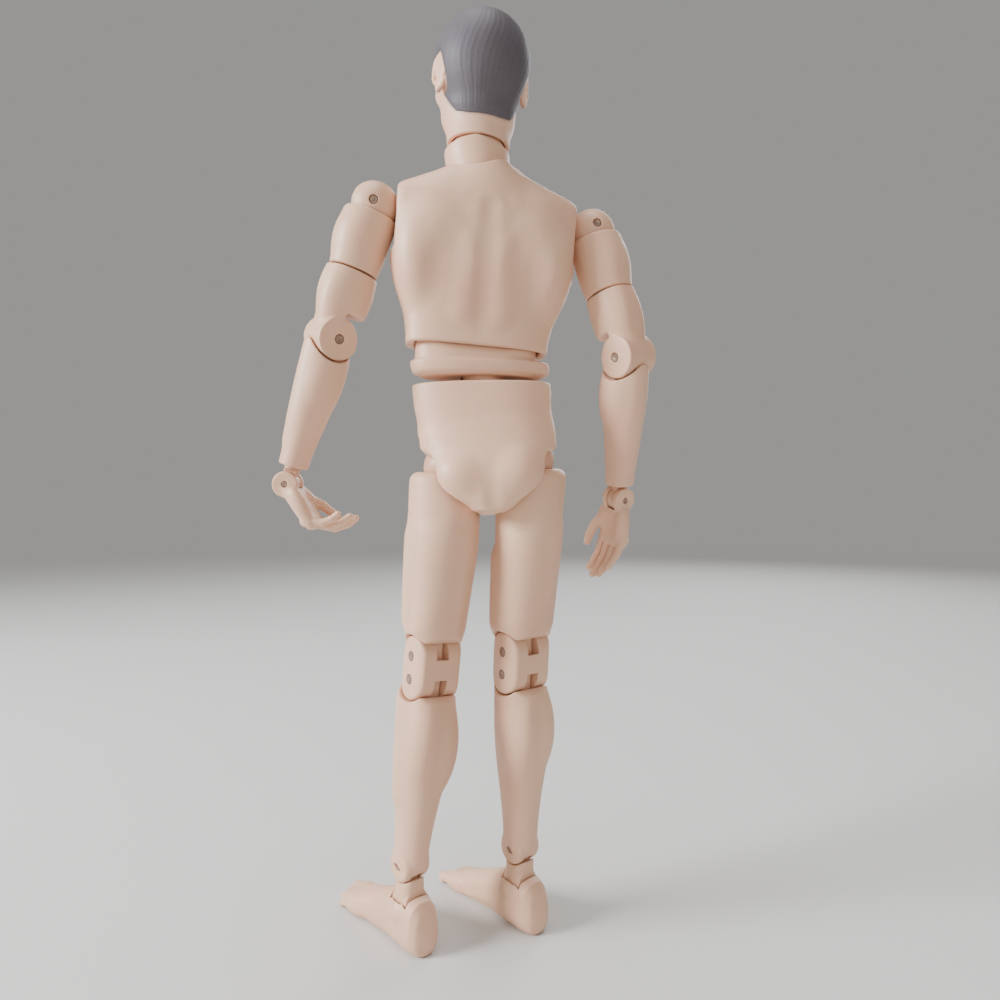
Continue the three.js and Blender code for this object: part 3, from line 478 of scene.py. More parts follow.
def plastic(name, light, dark, blush, rough=0.46, paints=()):
    """Moulded skin-toned plastic: cloudy colour, a fine satin grain and rubbed, slightly glossier places."""
    mat, nt, bsdf = new_material(name)
    tc = nt.nodes.new("ShaderNodeTexCoord")
    co = tc.outputs["Object"]
    cloud = node(nt, "ShaderNodeTexNoise", Scale=26.0, Detail=4.0, Roughness=0.55)
    warm = node(nt, "ShaderNodeTexNoise", Scale=55.0, Detail=3.0, Roughness=0.6)
    grain = node(nt, "ShaderNodeTexNoise", Scale=2600.0, Detail=2.0, Roughness=0.6)
    swirl = node(nt, "ShaderNodeTexNoise", Scale=330.0, Detail=3.0, Roughness=0.6)
    for n in (cloud, warm, grain, swirl):
        nt.links.new(co, n.inputs["Vector"])
    c1 = mix(nt, ramp(nt, cloud.outputs["Fac"], [(0.32, 0), (0.68, 1)]), dark, light)
    c2 = mix(nt, ramp(nt, warm.outputs["Fac"], [(0.45, 0), (0.8, 0.55)]), c1, blush)
    for key, colour in paints:
        at = nt.nodes.new("ShaderNodeAttribute")
        at.attribute_name = key
        c2 = mix(nt, at.outputs["Fac"], c2, colour)
    nt.links.new(c2, bsdf.inputs["Base Color"])
    rr = nt.nodes.new("ShaderNodeMapRange")
    nt.links.new(swirl.outputs["Fac"], rr.inputs["Value"])
    rr.inputs["From Min"].default_value, rr.inputs["From Max"].default_value = 0.3, 0.7
    rr.inputs["To Min"].default_value, rr.inputs["To Max"].default_value = rough - 0.06, rough + 0.07
    nt.links.new(rr.outputs[0], bsdf.inputs["Roughness"])
    b1 = node(nt, "ShaderNodeBump", Strength=0.12, Distance=0.00006)
    nt.links.new(grain.outputs["Fac"], b1.inputs["Height"])
    b2 = node(nt, "ShaderNodeBump", Strength=0.1, Distance=0.0004)
    nt.links.new(swirl.outputs["Fac"], b2.inputs["Height"])
    nt.links.new(b1.outputs[0], b2.inputs["Normal"])
    nt.links.new(b2.outputs[0], bsdf.inputs["Normal"])
    bsdf.inputs["Subsurface Weight"].default_value = 0.12
    bsdf.inputs["Subsurface Radius"].default_value = (0.9, 0.45, 0.25)
    bsdf.inputs["Subsurface Scale"].default_value = 0.0016
    bsdf.inputs["Specular IOR Level"].default_value = 0.42
    return mat


SKIN = plastic("skin_plastic", srgb(225, 186, 157), srgb(213, 171, 142), srgb(230, 172, 152))
JOINT = plastic("joint_plastic", srgb(214, 171, 143), srgb(200, 156, 128), srgb(212, 160, 136), rough=0.42)
# the dark paint marks pupils and lash lines, and is also painted shade in the nostrils and the crease between the lips
FACE = plastic("face_vinyl", srgb(226, 187, 160), srgb(214, 172, 145), srgb(231, 171, 150), rough=0.52, paints=[
    ("lips", srgb(198, 132, 120)), ("eye_white", srgb(222, 214, 205)), ("iris", srgb(88, 62, 44)),
    ("dark", srgb(44, 34, 32)), ("glint", srgb(245, 245, 245)), ("brow", srgb(92, 78, 74)), ("scalp", srgb(112, 96, 92))])


def steel_material():
    mat, nt, bsdf = new_material("pin_steel")
    tc = nt.nodes.new("ShaderNodeTexCoord")
    n = node(nt, "ShaderNodeTexNoise", Scale=900.0, Detail=3.0, Roughness=0.6)
    nt.links.new(tc.outputs["Object"], n.inputs["Vector"])
    c = mix(nt, n.outputs["Fac"], srgb(128, 106, 92), srgb(164, 138, 120))
    nt.links.new(c, bsdf.inputs["Base Color"])
    bsdf.inputs["Metallic"].default_value = 0.55
    rr = nt.nodes.new("ShaderNodeMapRange")
    nt.links.new(n.outputs["Fac"], rr.inputs["Value"])
    rr.inputs["To Min"].default_value, rr.inputs["To Max"].default_value = 0.3, 0.52
    nt.links.new(rr.outputs[0], bsdf.inputs["Roughness"])
    b = node(nt, "ShaderNodeBump", Strength=0.15, Distance=0.00005)
    nt.links.new(n.outputs["Fac"], b.inputs["Height"])
    nt.links.new(b.outputs[0], bsdf.inputs["Normal"])
    return mat


PIN_MAT = steel_material()


def hair_material():
    """Short moulded hair under matt paint: strands run down from the crown."""
    mat, nt, bsdf = new_material("hair_paint")
    at = nt.nodes.new("ShaderNodeAttribute")
    at.attribute_name = "flow"
    along = nt.nodes.new("ShaderNodeAttribute")
    along.attribute_name = "fall"
    comb = nt.nodes.new("ShaderNodeCombineXYZ")
    nt.links.new(at.outputs["Fac"], comb.inputs[0])
    nt.links.new(along.outputs["Fac"], comb.inputs[1])
    tc = nt.nodes.new("ShaderNodeTexCoord")
    fine = node(nt, "ShaderNodeTexNoise", Scale=1.0, Detail=5.0, Roughness=0.7)
    mp = nt.nodes.new("ShaderNodeMapping")
    mp.inputs["Scale"].default_value = (40.0, 3.0, 1.0)
    nt.links.new(comb.outputs[0], mp.inputs["Vector"])
    nt.links.new(mp.outputs[0], fine.inputs["Vector"])
    patch = node(nt, "ShaderNodeTexNoise", Scale=120.0, Detail=4.0, Roughness=0.6)
    nt.links.new(tc.outputs["Object"], patch.inputs["Vector"])
    c1 = mix(nt, ramp(nt, fine.outputs["Fac"], [(0.3, 0), (0.7, 1)]), srgb(76, 71, 75), srgb(92, 87, 93))
    c2 = mix(nt, ramp(nt, patch.outputs["Fac"], [(0.35, 0), (0.75, 0.6)]), c1, srgb(88, 83, 92))
    nt.links.new(c2, bsdf.inputs["Base Color"])
    bsdf.inputs["Roughness"].default_value = 0.62
    rr = nt.nodes.new("ShaderNodeMapRange")
    nt.links.new(fine.outputs["Fac"], rr.inputs["Value"])
    rr.inputs["To Min"].default_value, rr.inputs["To Max"].default_value = 0.46, 0.72
    nt.links.new(rr.outputs[0], bsdf.inputs["Roughness"])
    b = node(nt, "ShaderNodeBump", Strength=0.2, Distance=0.00012)
    nt.links.new(fine.outputs["Fac"], b.inputs["Height"])
    nt.links.new(b.outputs[0], bsdf.inputs["Normal"])
    bsdf.inputs["Specular IOR Level"].default_value = 0.4
    return mat


HAIR = hair_material()

# ----------------------------------------------------------------- body frames
PELVIS_M = rolled(PELVIS_AT, PELVIS_ROLL)
CHEST_M = rolled(CHEST_AT, CHEST_ROLL, CHEST_YAW)
WAIST_M = rolled(WAIST_PIVOT, 0, CHEST_YAW)
NECK_M = rolled(NECK_PIVOT, 0, CHEST_YAW)
TILT = math.radians(HEAD_TILT)
TILT_M = frame_at(HEAD_PIVOT, (math.sin(TILT), 0, math.cos(TILT)), (1, 0, 0))
HEAD_M = TILT_M @ turn("z", HEAD_TURN)
CHEST_PIVOT_M = CHEST_M @ shift(0, 0, CHEST_PIVOT_Z)

# ----------------------------------------------------------------------- chest
CHEST_SKIN = table([
    [-27, 22.4, 10.9, 10.9, 0, 0, 3.1], [-22, 22.9, 11.4, 11.0, 0, 0, 2.9], [-14, 24.6, 12.4, 11.6, 0, 0, 2.5],
    [-5, 27.2, 14.2, 12.8, 0, 0, 2.4], [4, 29.2, 15.4, 13.6, 0, 0, 2.5], [12, 30.8, 14.6, 14.0, 0, 0.4, 2.5],
    [18, 31.6, 12.4, 13.0, 0, 1.0, 2.4], [21.5, 28.5, 10.6, 11.8, 0, 1.6, 2.2], [24.5, 21.6, 9.4, 10.8, 0.6, 1.8, 2.1],
    [27.2, 15.0, 9.0, 10.4, 1.3, 1.8, 2.0], [29.4, 10.9, 8.8, 10.2, 1.8, 1.8, 2.0]])
NECK_ROOM = table([[-0.4, 10.1, 10.7, 10.3, 0, 0, 2], [7, 11.0, 13.1, 12.1, 0.2, 0, 2]])
CHEST_TO_NECK = inv(inv(CHEST_M) @ NECK_M)


FLARE = table([[6.0, 19.2, 8.8, 8.8, 0.4, 0, 2.4], [7.4, 21.6, 9.9, 9.9, 0.5, 0, 2.4], [10.3, 22.2, 10.2, 10.2, 0.8, 0, 2.4],
               [11.1, 22.0, 9.7, 9.7, 1.0, 0, 2.4]])
FLARE_ROOM = np.array([[z + (GAP if i == len(FLARE) - 1 else 0), a + GAP, f + GAP, b + GAP, x, y, q] for i, (z, a, f, b, x, y, q) in enumerate(FLARE)])
PIVOT_TO_WAIST = inv(inv(CHEST_PIVOT_M) @ WAIST_M)
DELTOID = [[SWIVEL_Z, 7.6, 7.4, 7.6, 0, 0, 2.1], [-16, 8.3, 8.0, 8.2, 0.2, 0, 2.1], [-10, 8.7, 8.5, 8.6, 0.5, 0, 2.1],
           [-6, 8.6, 8.6, 8.7, 0.3, 0, 2.1], [-2.6, 8.4, 8.4, 8.5, 0.1, 0, 2.1]]


def arm_rooms(p):
    """The space behind and above the shoulders that the upper arms take as they swing to their limits."""
    d = np.full(len(p), 1e3)
    for s in (1, -1):
        at = apply(CHEST_M, [(s * SHOULDER[0], SHOULDER[1], SHOULDER[2])])[0]
        rel = inv(inv(CHEST_M) @ frame_at(at, at - np.array(ELBOW[s], float), CHEST_M[:3, 0]))
        t = table([[z, a + GAP + 0.3, f + GAP + 0.5, b + GAP + 0.5, x * s, y, q] for z, a, f, b, x, y, q in DELTOID], 6)
        near = p - np.array([s * SHOULDER[0], SHOULDER[1], SHOULDER[2]])
        ok = (near ** 2).sum(1) < 26 ** 2
        e = np.full(int(ok.sum()), 1e3)
        for swing in (30, 38, 46, -110, -126, -141):
            e = np.minimum(e, loft(near[ok] @ turn("x", swing)[:3, :3] @ rel[:3, :3].T, t, 0.3))
        d[ok] = np.minimum(d[ok], e)
    return d


def barrel(c, grow):
    """The round top of the abdomen about the bending pin, slimmer at its ends."""
    rad = np.sqrt(c[:, 1] ** 2 + c[:, 2] ** 2)
    return rad - (CHEST_PIVOT_R - 0.042 * np.maximum(np.abs(c[:, 0]) - 12, 0) ** 2 + grow)


def chest_field(p):
    q = mirror(p)
    d = loft(p, CHEST_SKIN, 0.8)
    # back: shoulder blades, trapezius, spine furrow, erectors, latissimus
    d = smin(d, ell(q, (15.4, 9.0, 9.0), (7.6, 4.5, 9.4), turn("y", -10)), 3.6)
    d = smin(d, cap(q, (8.6, 10.2, 16.5), (24.5, 6.6, 18.0), 2.4, 2.0), 3.4)
    d = smin(d, ell(p, (0, 9.5, 19.0), (9.0, 4.4, 11.0)), 3.6)
    d = smin(d, cap(q, (6.0, 7.2, -17), (5.6, 8.8, 4), 3.2, 3.0), 3.8)
    d = smin(d, ell(q, (21.0, 3.2, -1.0), (7.0, 9.2, 15.0), turn("y", 8)), 4.2)
    d = smin(d, cap(q, (5.0, 3.6, 27.2), (25.0, 1.8, 19.3), 4.2, 3.2), 3.0)
    d = cut(d, chain(p, [(0, 14.2, -22), (0, 15.2, -12), (0, 16.3, 0), (0, 16.9, 14)], [1.2, 1.8, 2.0, 1.3]), 3.6)
    d = cut(d, ell(q, (10.6, 17.4, -2.0), (4.4, 3.0, 9.0), turn("y", 14)), 4.0)
    # front: chest muscles, breastbone, rib arch, upper belly, collar bones
    d = smin(d, ell(q, (12.6, -9.0, 9.6), (11.8, 7.2, 8.6), turn("y", 8)), 2.2)
    d = smin(d, cap(q, (20.0, -7.2, 12.5), (27.0, -3.4, 16.0), 4.6, 3.6), 2.6)
    d = cut(d, chain(p, [(0, -17.6, -4), (0, -17.6, 10), (0, -14.2, 19)], [1.3, 1.5, 1.2]), 2.0)
    for z, r, y in ((-6.4, 4.6, -10.6), (-15.6, 4.6, -10.0), (-24.6, 4.6, -8.8)):
        d = smin(d, ell(q, (5.0, y, z), (4.7, 3.6, r)), 1.6)
    d = cut(d, cap(p, (0, -14.6, -30), (0, -15.6, -2), 1.3), 1.8)
    for z, x in ((0.0, 23.2), (-5.4, 22.0), (-10.6, 20.6)):
        d = smin(d, ell(q, (x, -6.4, z), (3.2, 4.6, 2.5), turn("y", -30)), 1.8)
    d = smin(d, chain(q, [(3.2, -7.6, 24.2), (12, -8.0, 24.2), (24.5, -3.6, 21.8)], [1.3, 1.2, 1.3]), 1.8)
    d = cut(d, ell(q, (10.5, -10.0, 26.8), (5.0, 2.6, 2.4)), 2.2)
    d = smax(d, -26.9 - p[:, 2], 0.9)
    # joints
    s = q - np.array(SHOULDER)
    d = cut(d, ball(s, SHOULDER_R + GAP))
    d = cut(d, rod(q, "x", 15, 8, (32, 0, SHOULDER[2])), 0.8)
    d = cut(d, rod(q, "x", 2.6 + FIT, 16, (23, 0, SHOULDER[2])), 0.2)
    n = apply(CHEST_TO_NECK, p)
    d = cut(d, smin(ball(n, 9.5 + GAP), loft(n, NECK_ROOM, 0.2), 0.3), 0.6)
    c = p - np.array([0, 0, CHEST_PIVOT_Z])
    d = cut(d, smax(barrel(c, GAP), np.abs(p[:, 0]) - 19.6, 0.4), 0.3)
    for bend in (9, 18.5):
        d = cut(d, loft(apply(PIVOT_TO_WAIST @ turn("x", bend), c), FLARE_ROOM, 0.3), 0.3)
    return cut(d, arm_rooms(p), 0.6)


for label, sign in (("front", -1), ("back", 1)):
    piece(f"torso_{label}", "chest", [f"chest_{label}"],
          lambda p, sign=sign: smax(chest_field(p), 0.15 - sign * p[:, 1], 0.25), CHEST_M,
          (-32.5, -19 if sign < 0 else -0.5, -28), (32.5, 0.5 if sign < 0 else 17, 30.5), 0.42, SKIN)

# ---------------------------------------------------------------- waist, belly
TOP = table([[-3.4, 19.2, 9.4, 9.4, 0, 0, 2.6], [10, 19.2, 10.4, 10.4, 0, 0, 2.6]])
WAIST_TO_PIVOT = inv(CHEST_PIVOT_M) @ WAIST_M


def belly_field(p):
    c = apply(WAIST_TO_PIVOT, p)
    top = smax(loft(c, TOP, 0.8), barrel(c, 0), 0.8)
    d = smin(top, loft(p, FLARE, 1.0), 0.9)
    d = cut(d, ell(p, (0.7, -10.9, 8.6), (1.5, 1.2, 1.3)), 0.7)
    d = smin(d, rod(p, "z", 6.6, 9, (0, 0, 2.4), 0.5), 0.8)
    d = cut(d, smin(rod(c, "x", 4.8 + GAP, 7.2 + 2 * GAP), box(c, (7.2 + 2 * GAP, 14, 16), (0, 0, 8)), 0.1))
    return cut(d, ball(p, 4.4 + GAP))


piece("abdomen_skin", "abdomen", ["abdomen"], belly_field, WAIST_M, (-25, -12, -3), (27, 12, 22), 0.42, SKIN)
lathe("waist_column", "waist_post", ["waist_post"], WAIST_M, "z",
      [(-14.0, 0.5), (-14.0, 4.4), (-13.8, 4.6), (-12.0, 4.6), (-11.8, 4.4), (-11.6, 2.8), (-3.6, 2.8)]
      + [(4.4 * math.sin(a), 4.4 * math.cos(a)) for a in np.radians(np.arange(-50, 89, 10))] + [(4.4, 0.3)],
      JOINT, 40)

# ---------------------------------------------------------------------- pelvis
PELVIS_SKIN = table([
    [-15.4, 4.4, 3.6, 7.0, 0, 1.6, 2.0], [-13.4, 9.2, 6.2, 9.6, 0, 1.4, 2.2], [-9.6, 14.6, 9.0, 12.0, 0, 1.0, 2.3],
    [-4.4, 18.9, 11.4, 13.8, 0, 0.4, 2.4], [1.6, 21.2, 12.6, 13.8, 0, 0, 2.4], [8, 21.8, 12.8, 12.8, 0, 0, 2.4],
    [15, 21.4, 12.0, 11.6, 0, 0, 2.4], [20.6, 21.9, 11.2, 11.0, 0, 0, 2.4], [29, 21.9, 10.6, 10.6, 0, 0, 2.4]])
THIGH = [[-61.5, 8.4, 8.8, 8.0, 0, 0, 2.2], [-56, 8.9, 9.2, 8.4, 0, 0, 2.2], [-47, 9.6, 10.0, 9.4, 0, 0, 2.1],
         [-36, 10.6, 11.0, 10.2, 0, 0, 2.1], [-25, 11.4, 11.6, 10.8, 0, 0, 2.1], [-15, 11.4, 11.8, 10.8, 0.2, -0.2, 2.1],
         [-8, 11.0, 11.4, 10.4, 1.0, -0.4, 2.1], [-4.4, 10.3, 10.8, 10.0, 1.7, -0.5, 2.1], [-2.4, 8.9, 9.4, 8.8, 2.1, -0.6, 2.1]]
SHIN = [[-57.6, 5.3, 5.4, 5.6, 0, 0, 2.1], [-52, 5.4, 5.6, 5.9, 0, 0, 2.1], [-42, 6.2, 6.4, 7.2, 0, 0, 2.1],
        [-30, 7.6, 7.6, 9.2, 0, 0, 2.1], [-20, 8.5, 8.0, 10.2, 0, 0, 2.1], [-11, 8.6, 8.2, 9.6, 0, 0, 2.1],
        [-4, 8.3, 8.4, 8.2, 0, 0, 2.2], [3.2, 8.2, 8.6, 7.6, 0, 0, 2.2]]
WAIST_TO_PELVIS = inv(WAIST_M) @ PELVIS_M
SEAT = table([[-15.6, 6.0, 4, 13.4, 0, 0, 2.5], [-14.2, 9.0, 4, 15.0, 0, 0, 2.8], [-10.6, 13.6, 5, 16.1, 0, 0, 3.1], [-5.6, 17.4, 6, 16.4, 0, 0, 3.1],
              [0, 19.6, 7, 15.6, 0, 0, 2.9], [6, 20.4, 7, 13.8, 0, 0, 2.6], [12, 19.6, 7, 11.4, 0, 0, 2.4],
              [18, 17.4, 6, 7.8, 0, 0, 2.2]])


class Leg:
    def __init__(self, s):
        self.s, self.word = s, "left" if s > 0 else "right"
        self.hip = apply(PELVIS_M, [(s * HIP_X, 0, 0)])[0]
        knee, ankle = np.array(KNEE[s], float), np.array(ANKLE[s], float)
        up = self.hip - knee
        side = np.array([math.cos(math.radians(LEG_YAW)), math.sin(math.radians(LEG_YAW)), 0])
        px = PELVIS_M[:3, 0]
        self.hub = hinged(self.hip, up, px)
        self.post = frame_at(self.hip, up, px)
        self.thigh = frame_at(self.hip, up, side)
        kneem = frame_at(knee, up, side)
        half = unit(up) * KNEE_PITCH / 2
        self.pin1 = kneem.copy()
        self.pin1[:3, 3] = knee + half
        self.pin2 = hinged(knee - half, (knee - half) - ankle, kneem[:3, 0])
        self.flex = frame_at(ankle, (0, 0, 1), (math.cos(math.radians(FOOT_YAW)), math.sin(math.radians(FOOT_YAW)), 0))
        self.tilt = self.flex.copy()
        self.tilt[2, 3] -= ANKLE_DROP
        self.knee_at = -np.linalg.norm(up) + KNEE_PITCH / 2
        grow = self.knee_at / -60.3
        lean = (lambda z: 0.8 * math.sin(math.pi * min(max((z + 47) / 44, 0), 1))) if s < 0 else (lambda z: 0)
        self.sections = [[v[0] * (grow if v[0] < 0 else 1), v[1] - lean(v[0]), *v[2:4], (v[4] + lean(v[0])) * s, v[5], v[6]] for v in THIGH]


LEGS = {s: Leg(s) for s in (1, -1)}


def thigh_rooms(p):
    """The space that both thighs take as they swing and spread."""
    d = np.full(len(p), 1e3)
    for s, leg in LEGS.items():
        t = table([[v[0], v[1] + GAP, v[2] + GAP + 0.55 * k, v[3] + GAP + 0.45 * k, *v[4:]] for k, v in enumerate(leg.sections[-5:])], 6)
        rel = inv(inv(PELVIS_M) @ leg.post)
        near = p - np.array([s * HIP_X, 0, 0])
        ok = (near ** 2).sum(1) < 25 ** 2
        q = near[ok]
        e = np.full(len(q), 1e3)
        for swing in np.linspace(-90, 14, 10):
            a = q @ turn("x", swing)[:3, :3]
            b = a @ rel[:3, :3].T
            for spread in (0, -18, -36):
                c = b @ turn("y", s * spread)[:3, :3]
                e = np.minimum(e, loft(c, t, 0.3))
        d[ok] = np.minimum(d[ok], e)
        d = np.minimum(d, ball(near, HIP_R + GAP))
    return d


def pelvis_field(p):
    q = mirror(p)
    d = loft(p, PELVIS_SKIN, 1.0)
    seat = smax(loft(p + np.array([1.0, 0, 0]), SEAT, 1.2), 3.0 - p[:, 1], 1.5)
    d = smin(d, seat, 2.4)
    d = smin(d, ell(q, (8.4, 8.4, -3.6), (8.6, 8.6, 8.6)), 2.4)
    d = cut(d, chain(p, [(-0.4, 18.9, 3.0), (-0.4, 19.4, -3), (-0.4, 18.9, -10), (-0.4, 16.6, -17)], [0.8, 1.6, 1.7, 1.4]), 2.8)
    d = smin(d, ell(q, (14.2, -7.6, 12.6), (3.4, 4.0, 5.6), turn("y", 20)), 2.8)
    d = smin(d, ell(p, (0, -9.6, -6.4), (5.0, 3.8, 6.6)), 2.6)
    d = cut(d, chain(q, [(17.0, -14.4, 9.0), (10.0, -15.4, 0.5), (5.2, -13.6, -7.0)], [1.0, 1.2, 0.9]), 2.2)
    room = np.full(len(p), 1e3)
    near = (p[:, 2] < 24)
    room[near] = thigh_rooms(p[near])
    d = cut(d, room, 0.5)
    w = apply(WAIST_TO_PELVIS, p)
    d = smax(d, w[:, 2] - (4.0 - 0.014 * w[:, 0]), 0.7)
    hole = np.minimum(rod(w, "z", 8.2, 15, (0, 0, 4.1)), rod(w, "z", 2.8 + GAP, 12, (0, 0, -8)))
    hole = np.minimum(hole, rod(w, "z", 4.6 + GAP, 2.2 + 2 * GAP, (0, 0, -12.9)))
    d = cut(d, hole, 0.3)
    for s in (1, -1):
        d = cut(d, rod(p, "x", 2.5 + FIT, 7, (s * (HIP_X - HIP_R - 1), 0, 0)), 0.2)
    return d


for label, sign in (("front", -1), ("back", 1)):
    piece(f"hips_{label}", "pelvis", [f"pelvis_{label}"],
          lambda p, sign=sign: smax(pelvis_field(p), 0.15 - sign * p[:, 1], 0.25), PELVIS_M,
          (-23, -15.5 if sign < 0 else -0.5, -17.5), (23, 0.5 if sign < 0 else 18.5, 29), 0.42, SKIN)

# ------------------------------------------------------------------------ legs


def build_leg(leg):
    s, w = leg.s, leg.word
    hub_to_post = inv(inv(leg.hub) @ leg.post)

    def hub_field(p):
        q = p * np.array([-s, 1, 1])
        d = ball(p, HIP_R)
        d = smin(d, rod(q, "x", 2.5, 6, (HIP_R + 1, 0, 0), 0.3), 0.4)
        d = smin(d, rod(q, "x", 3.8, 1.6, (HIP_R + 2.6, 0, 0), 0.3), 0.3)
        t = apply(hub_to_post, p)
        slot = np.minimum(rod(t, "y", 5.2 + GAP, 4.6 + 2 * GAP),
                          pie(t, "y", 3.2 + GAP, 4.6 + 2 * GAP, -42 if s > 0 else -6, 6 if s > 0 else 42))
        d = cut(d, slot, 0.4)
        return cut(d, rod(p, "y", 1.3 + 0.12, 30), 0.15)

    piece(f"{w}_hip_ball", f"{w}_hip_hub", [f"{w}_hip_hub"], hub_field, leg.hub, (-13, -9, -9), (13, 9, 9), 0.3, JOINT)
    pin(f"{w}_hip_rivet", f"{w}_hip_hub", f"{w}_hip_pin", leg.hub, "y", 1.3, 13.6)

    def post_field(p):
        d = np.minimum(rod(p, "y", 5.2, 4.6, k=0.3), box(p, (6.4, 4.6, 12), (0, 0, -6), 0.3))
        d = smin(d, rod(p, "z", 3.0, 10, (0, 0, -16), 0.3), 0.4)
        d = smin(d, rod(p, "z", 4.4, 2, (0, 0, -21.4), 0.3), 0.3)
        return cut(d, rod(p, "y", 1.3 + GAP, 10), 0.15)

    piece(f"{w}_hip_stem", f"{w}_hip_post", [f"{w}_hip_post"], post_field, leg.post, (-6, -3.5, -23), (6, 3.5, 6), 0.3, JOINT)

    # thigh
    t = table(leg.sections)
    yaw = turn("z", LEG_YAW)
    kz = leg.knee_at
    g = kz / -60.3

    def thigh_field(p):
        o = p @ yaw[:3, :3].T                      # the axes of the hip
        d = loft(o, t, 1.3)
        z = lambda v: v * g
        # quadriceps, kneecap tendon, hamstrings, in the knee's own axes (front is -Y)
        d = smin(d, cap(p, (2.7 * s, -3.6, z(-24)), (3.9 * s, -3.4, z(-48)), 7.1, 5.5), 3.0)
        d = smin(d, cap(p, (-3.2 * s, -3.6, z(-32)), (-4.4 * s, -2.6, z(-51)), 6.2, 5.6), 2.4)
        d = smin(d, cap(p, (2.9 * s, 3.2, z(-22)), (4.3 * s, 2.8, z(-50)), 6.4, 4.2), 2.8)
        d = smin(d, cap(p, (-2.8 * s, 3.0, z(-24)), (-4.2 * s, 2.8, z(-50)), 6.0, 4.0), 2.8)
        d = cut(d, chain(p, [(0, -13.4, z(-34)), (0, -11.8, z(-50)), (0, -10.8, z(-58))], [1.0, 1.3, 1.0]), 2.4)
        d = cut(d, chain(p, [(0.4 * s, 13.6, z(-24)), (0, 12.2, z(-44)), (0, 10.4, z(-60))], [0.9, 1.5, 2.4]), 2.6)
        d = cut(d, chain(p, [(13.6 * s, 1.6, z(-22)), (12.2 * s, 1.2, z(-36)), (11.4 * s, 0.8, z(-50))], [0.5, 0.9, 1.2]), 2.6)
        # joints
        d = cut(d, ball(o, HIP_R + GAP), 0.5)
        d = cut(d, box(o, (12, 30, 12), (-s * 11.2, 0, 2.2)), 0.8)
        d = cut(d, np.minimum(rod(p, "z", 3.0 + FIT, 17, (0, 0, -14)), rod(p, "z", 4.6, 6, (0, 0, -10))), 0.2)
        k = p - np.array([0, 0, kz])
        d = cut(d, rod(k, "x", KNEE_R + GAP + 0.1, 30), 0.5)
        a = math.radians(32)
        back = (k - np.array([0, 0, 1.2])) @ turn("x", 32)[:3, :3]
        d = cut(d, box(back, (24, 20, 20), (0, 10, -10)), 0.6)
        d = cut(d, box(k, (30, 30, 12), (0, 0, -7.2)), 0.4)
        tongue = np.minimum(rod(k, "x", 3.3, KNEE_TONGUE, k=0.3), box(k, (KNEE_TONGUE, 6, 8), (0, 0, 4), 0.3))
        return smin(d, tongue, 0.3)

    piece(f"{w}_thigh_skin", f"{w}_thigh", [f"{w}_thigh"], thigh_field, leg.thigh,
          (-14, -15, kz - 4), (14, 15, 4), 0.42, SKIN)

    # knee block
    rel = inv(inv(leg.pin1) @ leg.pin2)
    guard = table([[-16, 8.1, 9, 9, 0, 0, 2.4], [9, 8.3, 9, 9, 0, 0, 2.4]])

    def knee_field(p):
        q = p.copy()
        zc = np.clip(q[:, 2], -KNEE_PITCH, 0)
        rad = np.sqrt(q[:, 1] ** 2 + (q[:, 2] - zc) ** 2) - KNEE_R
        d = smax(rad, np.abs(q[:, 0]) - 8.1, 1.6)
        d = smax(d, loft(p, guard, 0.3), 0.8)
        d = smin(d, ell(p, (0, -4.3, -KNEE_PITCH / 2), (4.6, 2.6, 5.0)), 1.2)
        wide = KNEE_TONGUE + 2 * GAP
        up = np.minimum(rod(p, "x", 3.3 + GAP, wide), pie(p, "x", 3 + GAP, wide, 120, 184))
        low = apply(rel, p)
        dn = np.minimum(rod(low, "x", 3.3 + GAP, wide), pie(low, "x", 3 + GAP, wide, -4, 60))
        d = cut(d, np.minimum(up, dn), 0.4)
        holes = np.minimum(rod(p, "x", 1.55, 30), rod(p, "x", 1.55, 30, (0, 0, -KNEE_PITCH)))
        d = cut(d, holes, 0.15)
        return smin(d, d, 0)

    piece(f"{w}_knee_skin", f"{w}_knee_block", [f"{w}_knee_block"], knee_field, leg.pin1,
          (-9, -8, -14), (9, 7.5, 7), 0.3, SKIN)
    pin(f"{w}_knee_rivet_upper", f"{w}_thigh", f"{w}_knee_pin_upper", leg.pin1, "x", 1.4, 15.9)
    pin(f"{w}_knee_rivet_lower", f"{w}_shin", f"{w}_knee_pin_lower", leg.pin2, "x", 1.4, 15.9)

    # shin
    low = apply(inv(leg.pin2), [ANKLE[s]])[0]
    gr = -low[2] / 57.6
    ts = table([[v[0] * (gr if v[0] < 0 else 1), *v[1:4], (-low[0] * v[0] / 57.6) if v[0] < 0 else 0, v[5], v[6]] for v in SHIN])
    ank = inv(inv(leg.pin2) @ leg.flex)

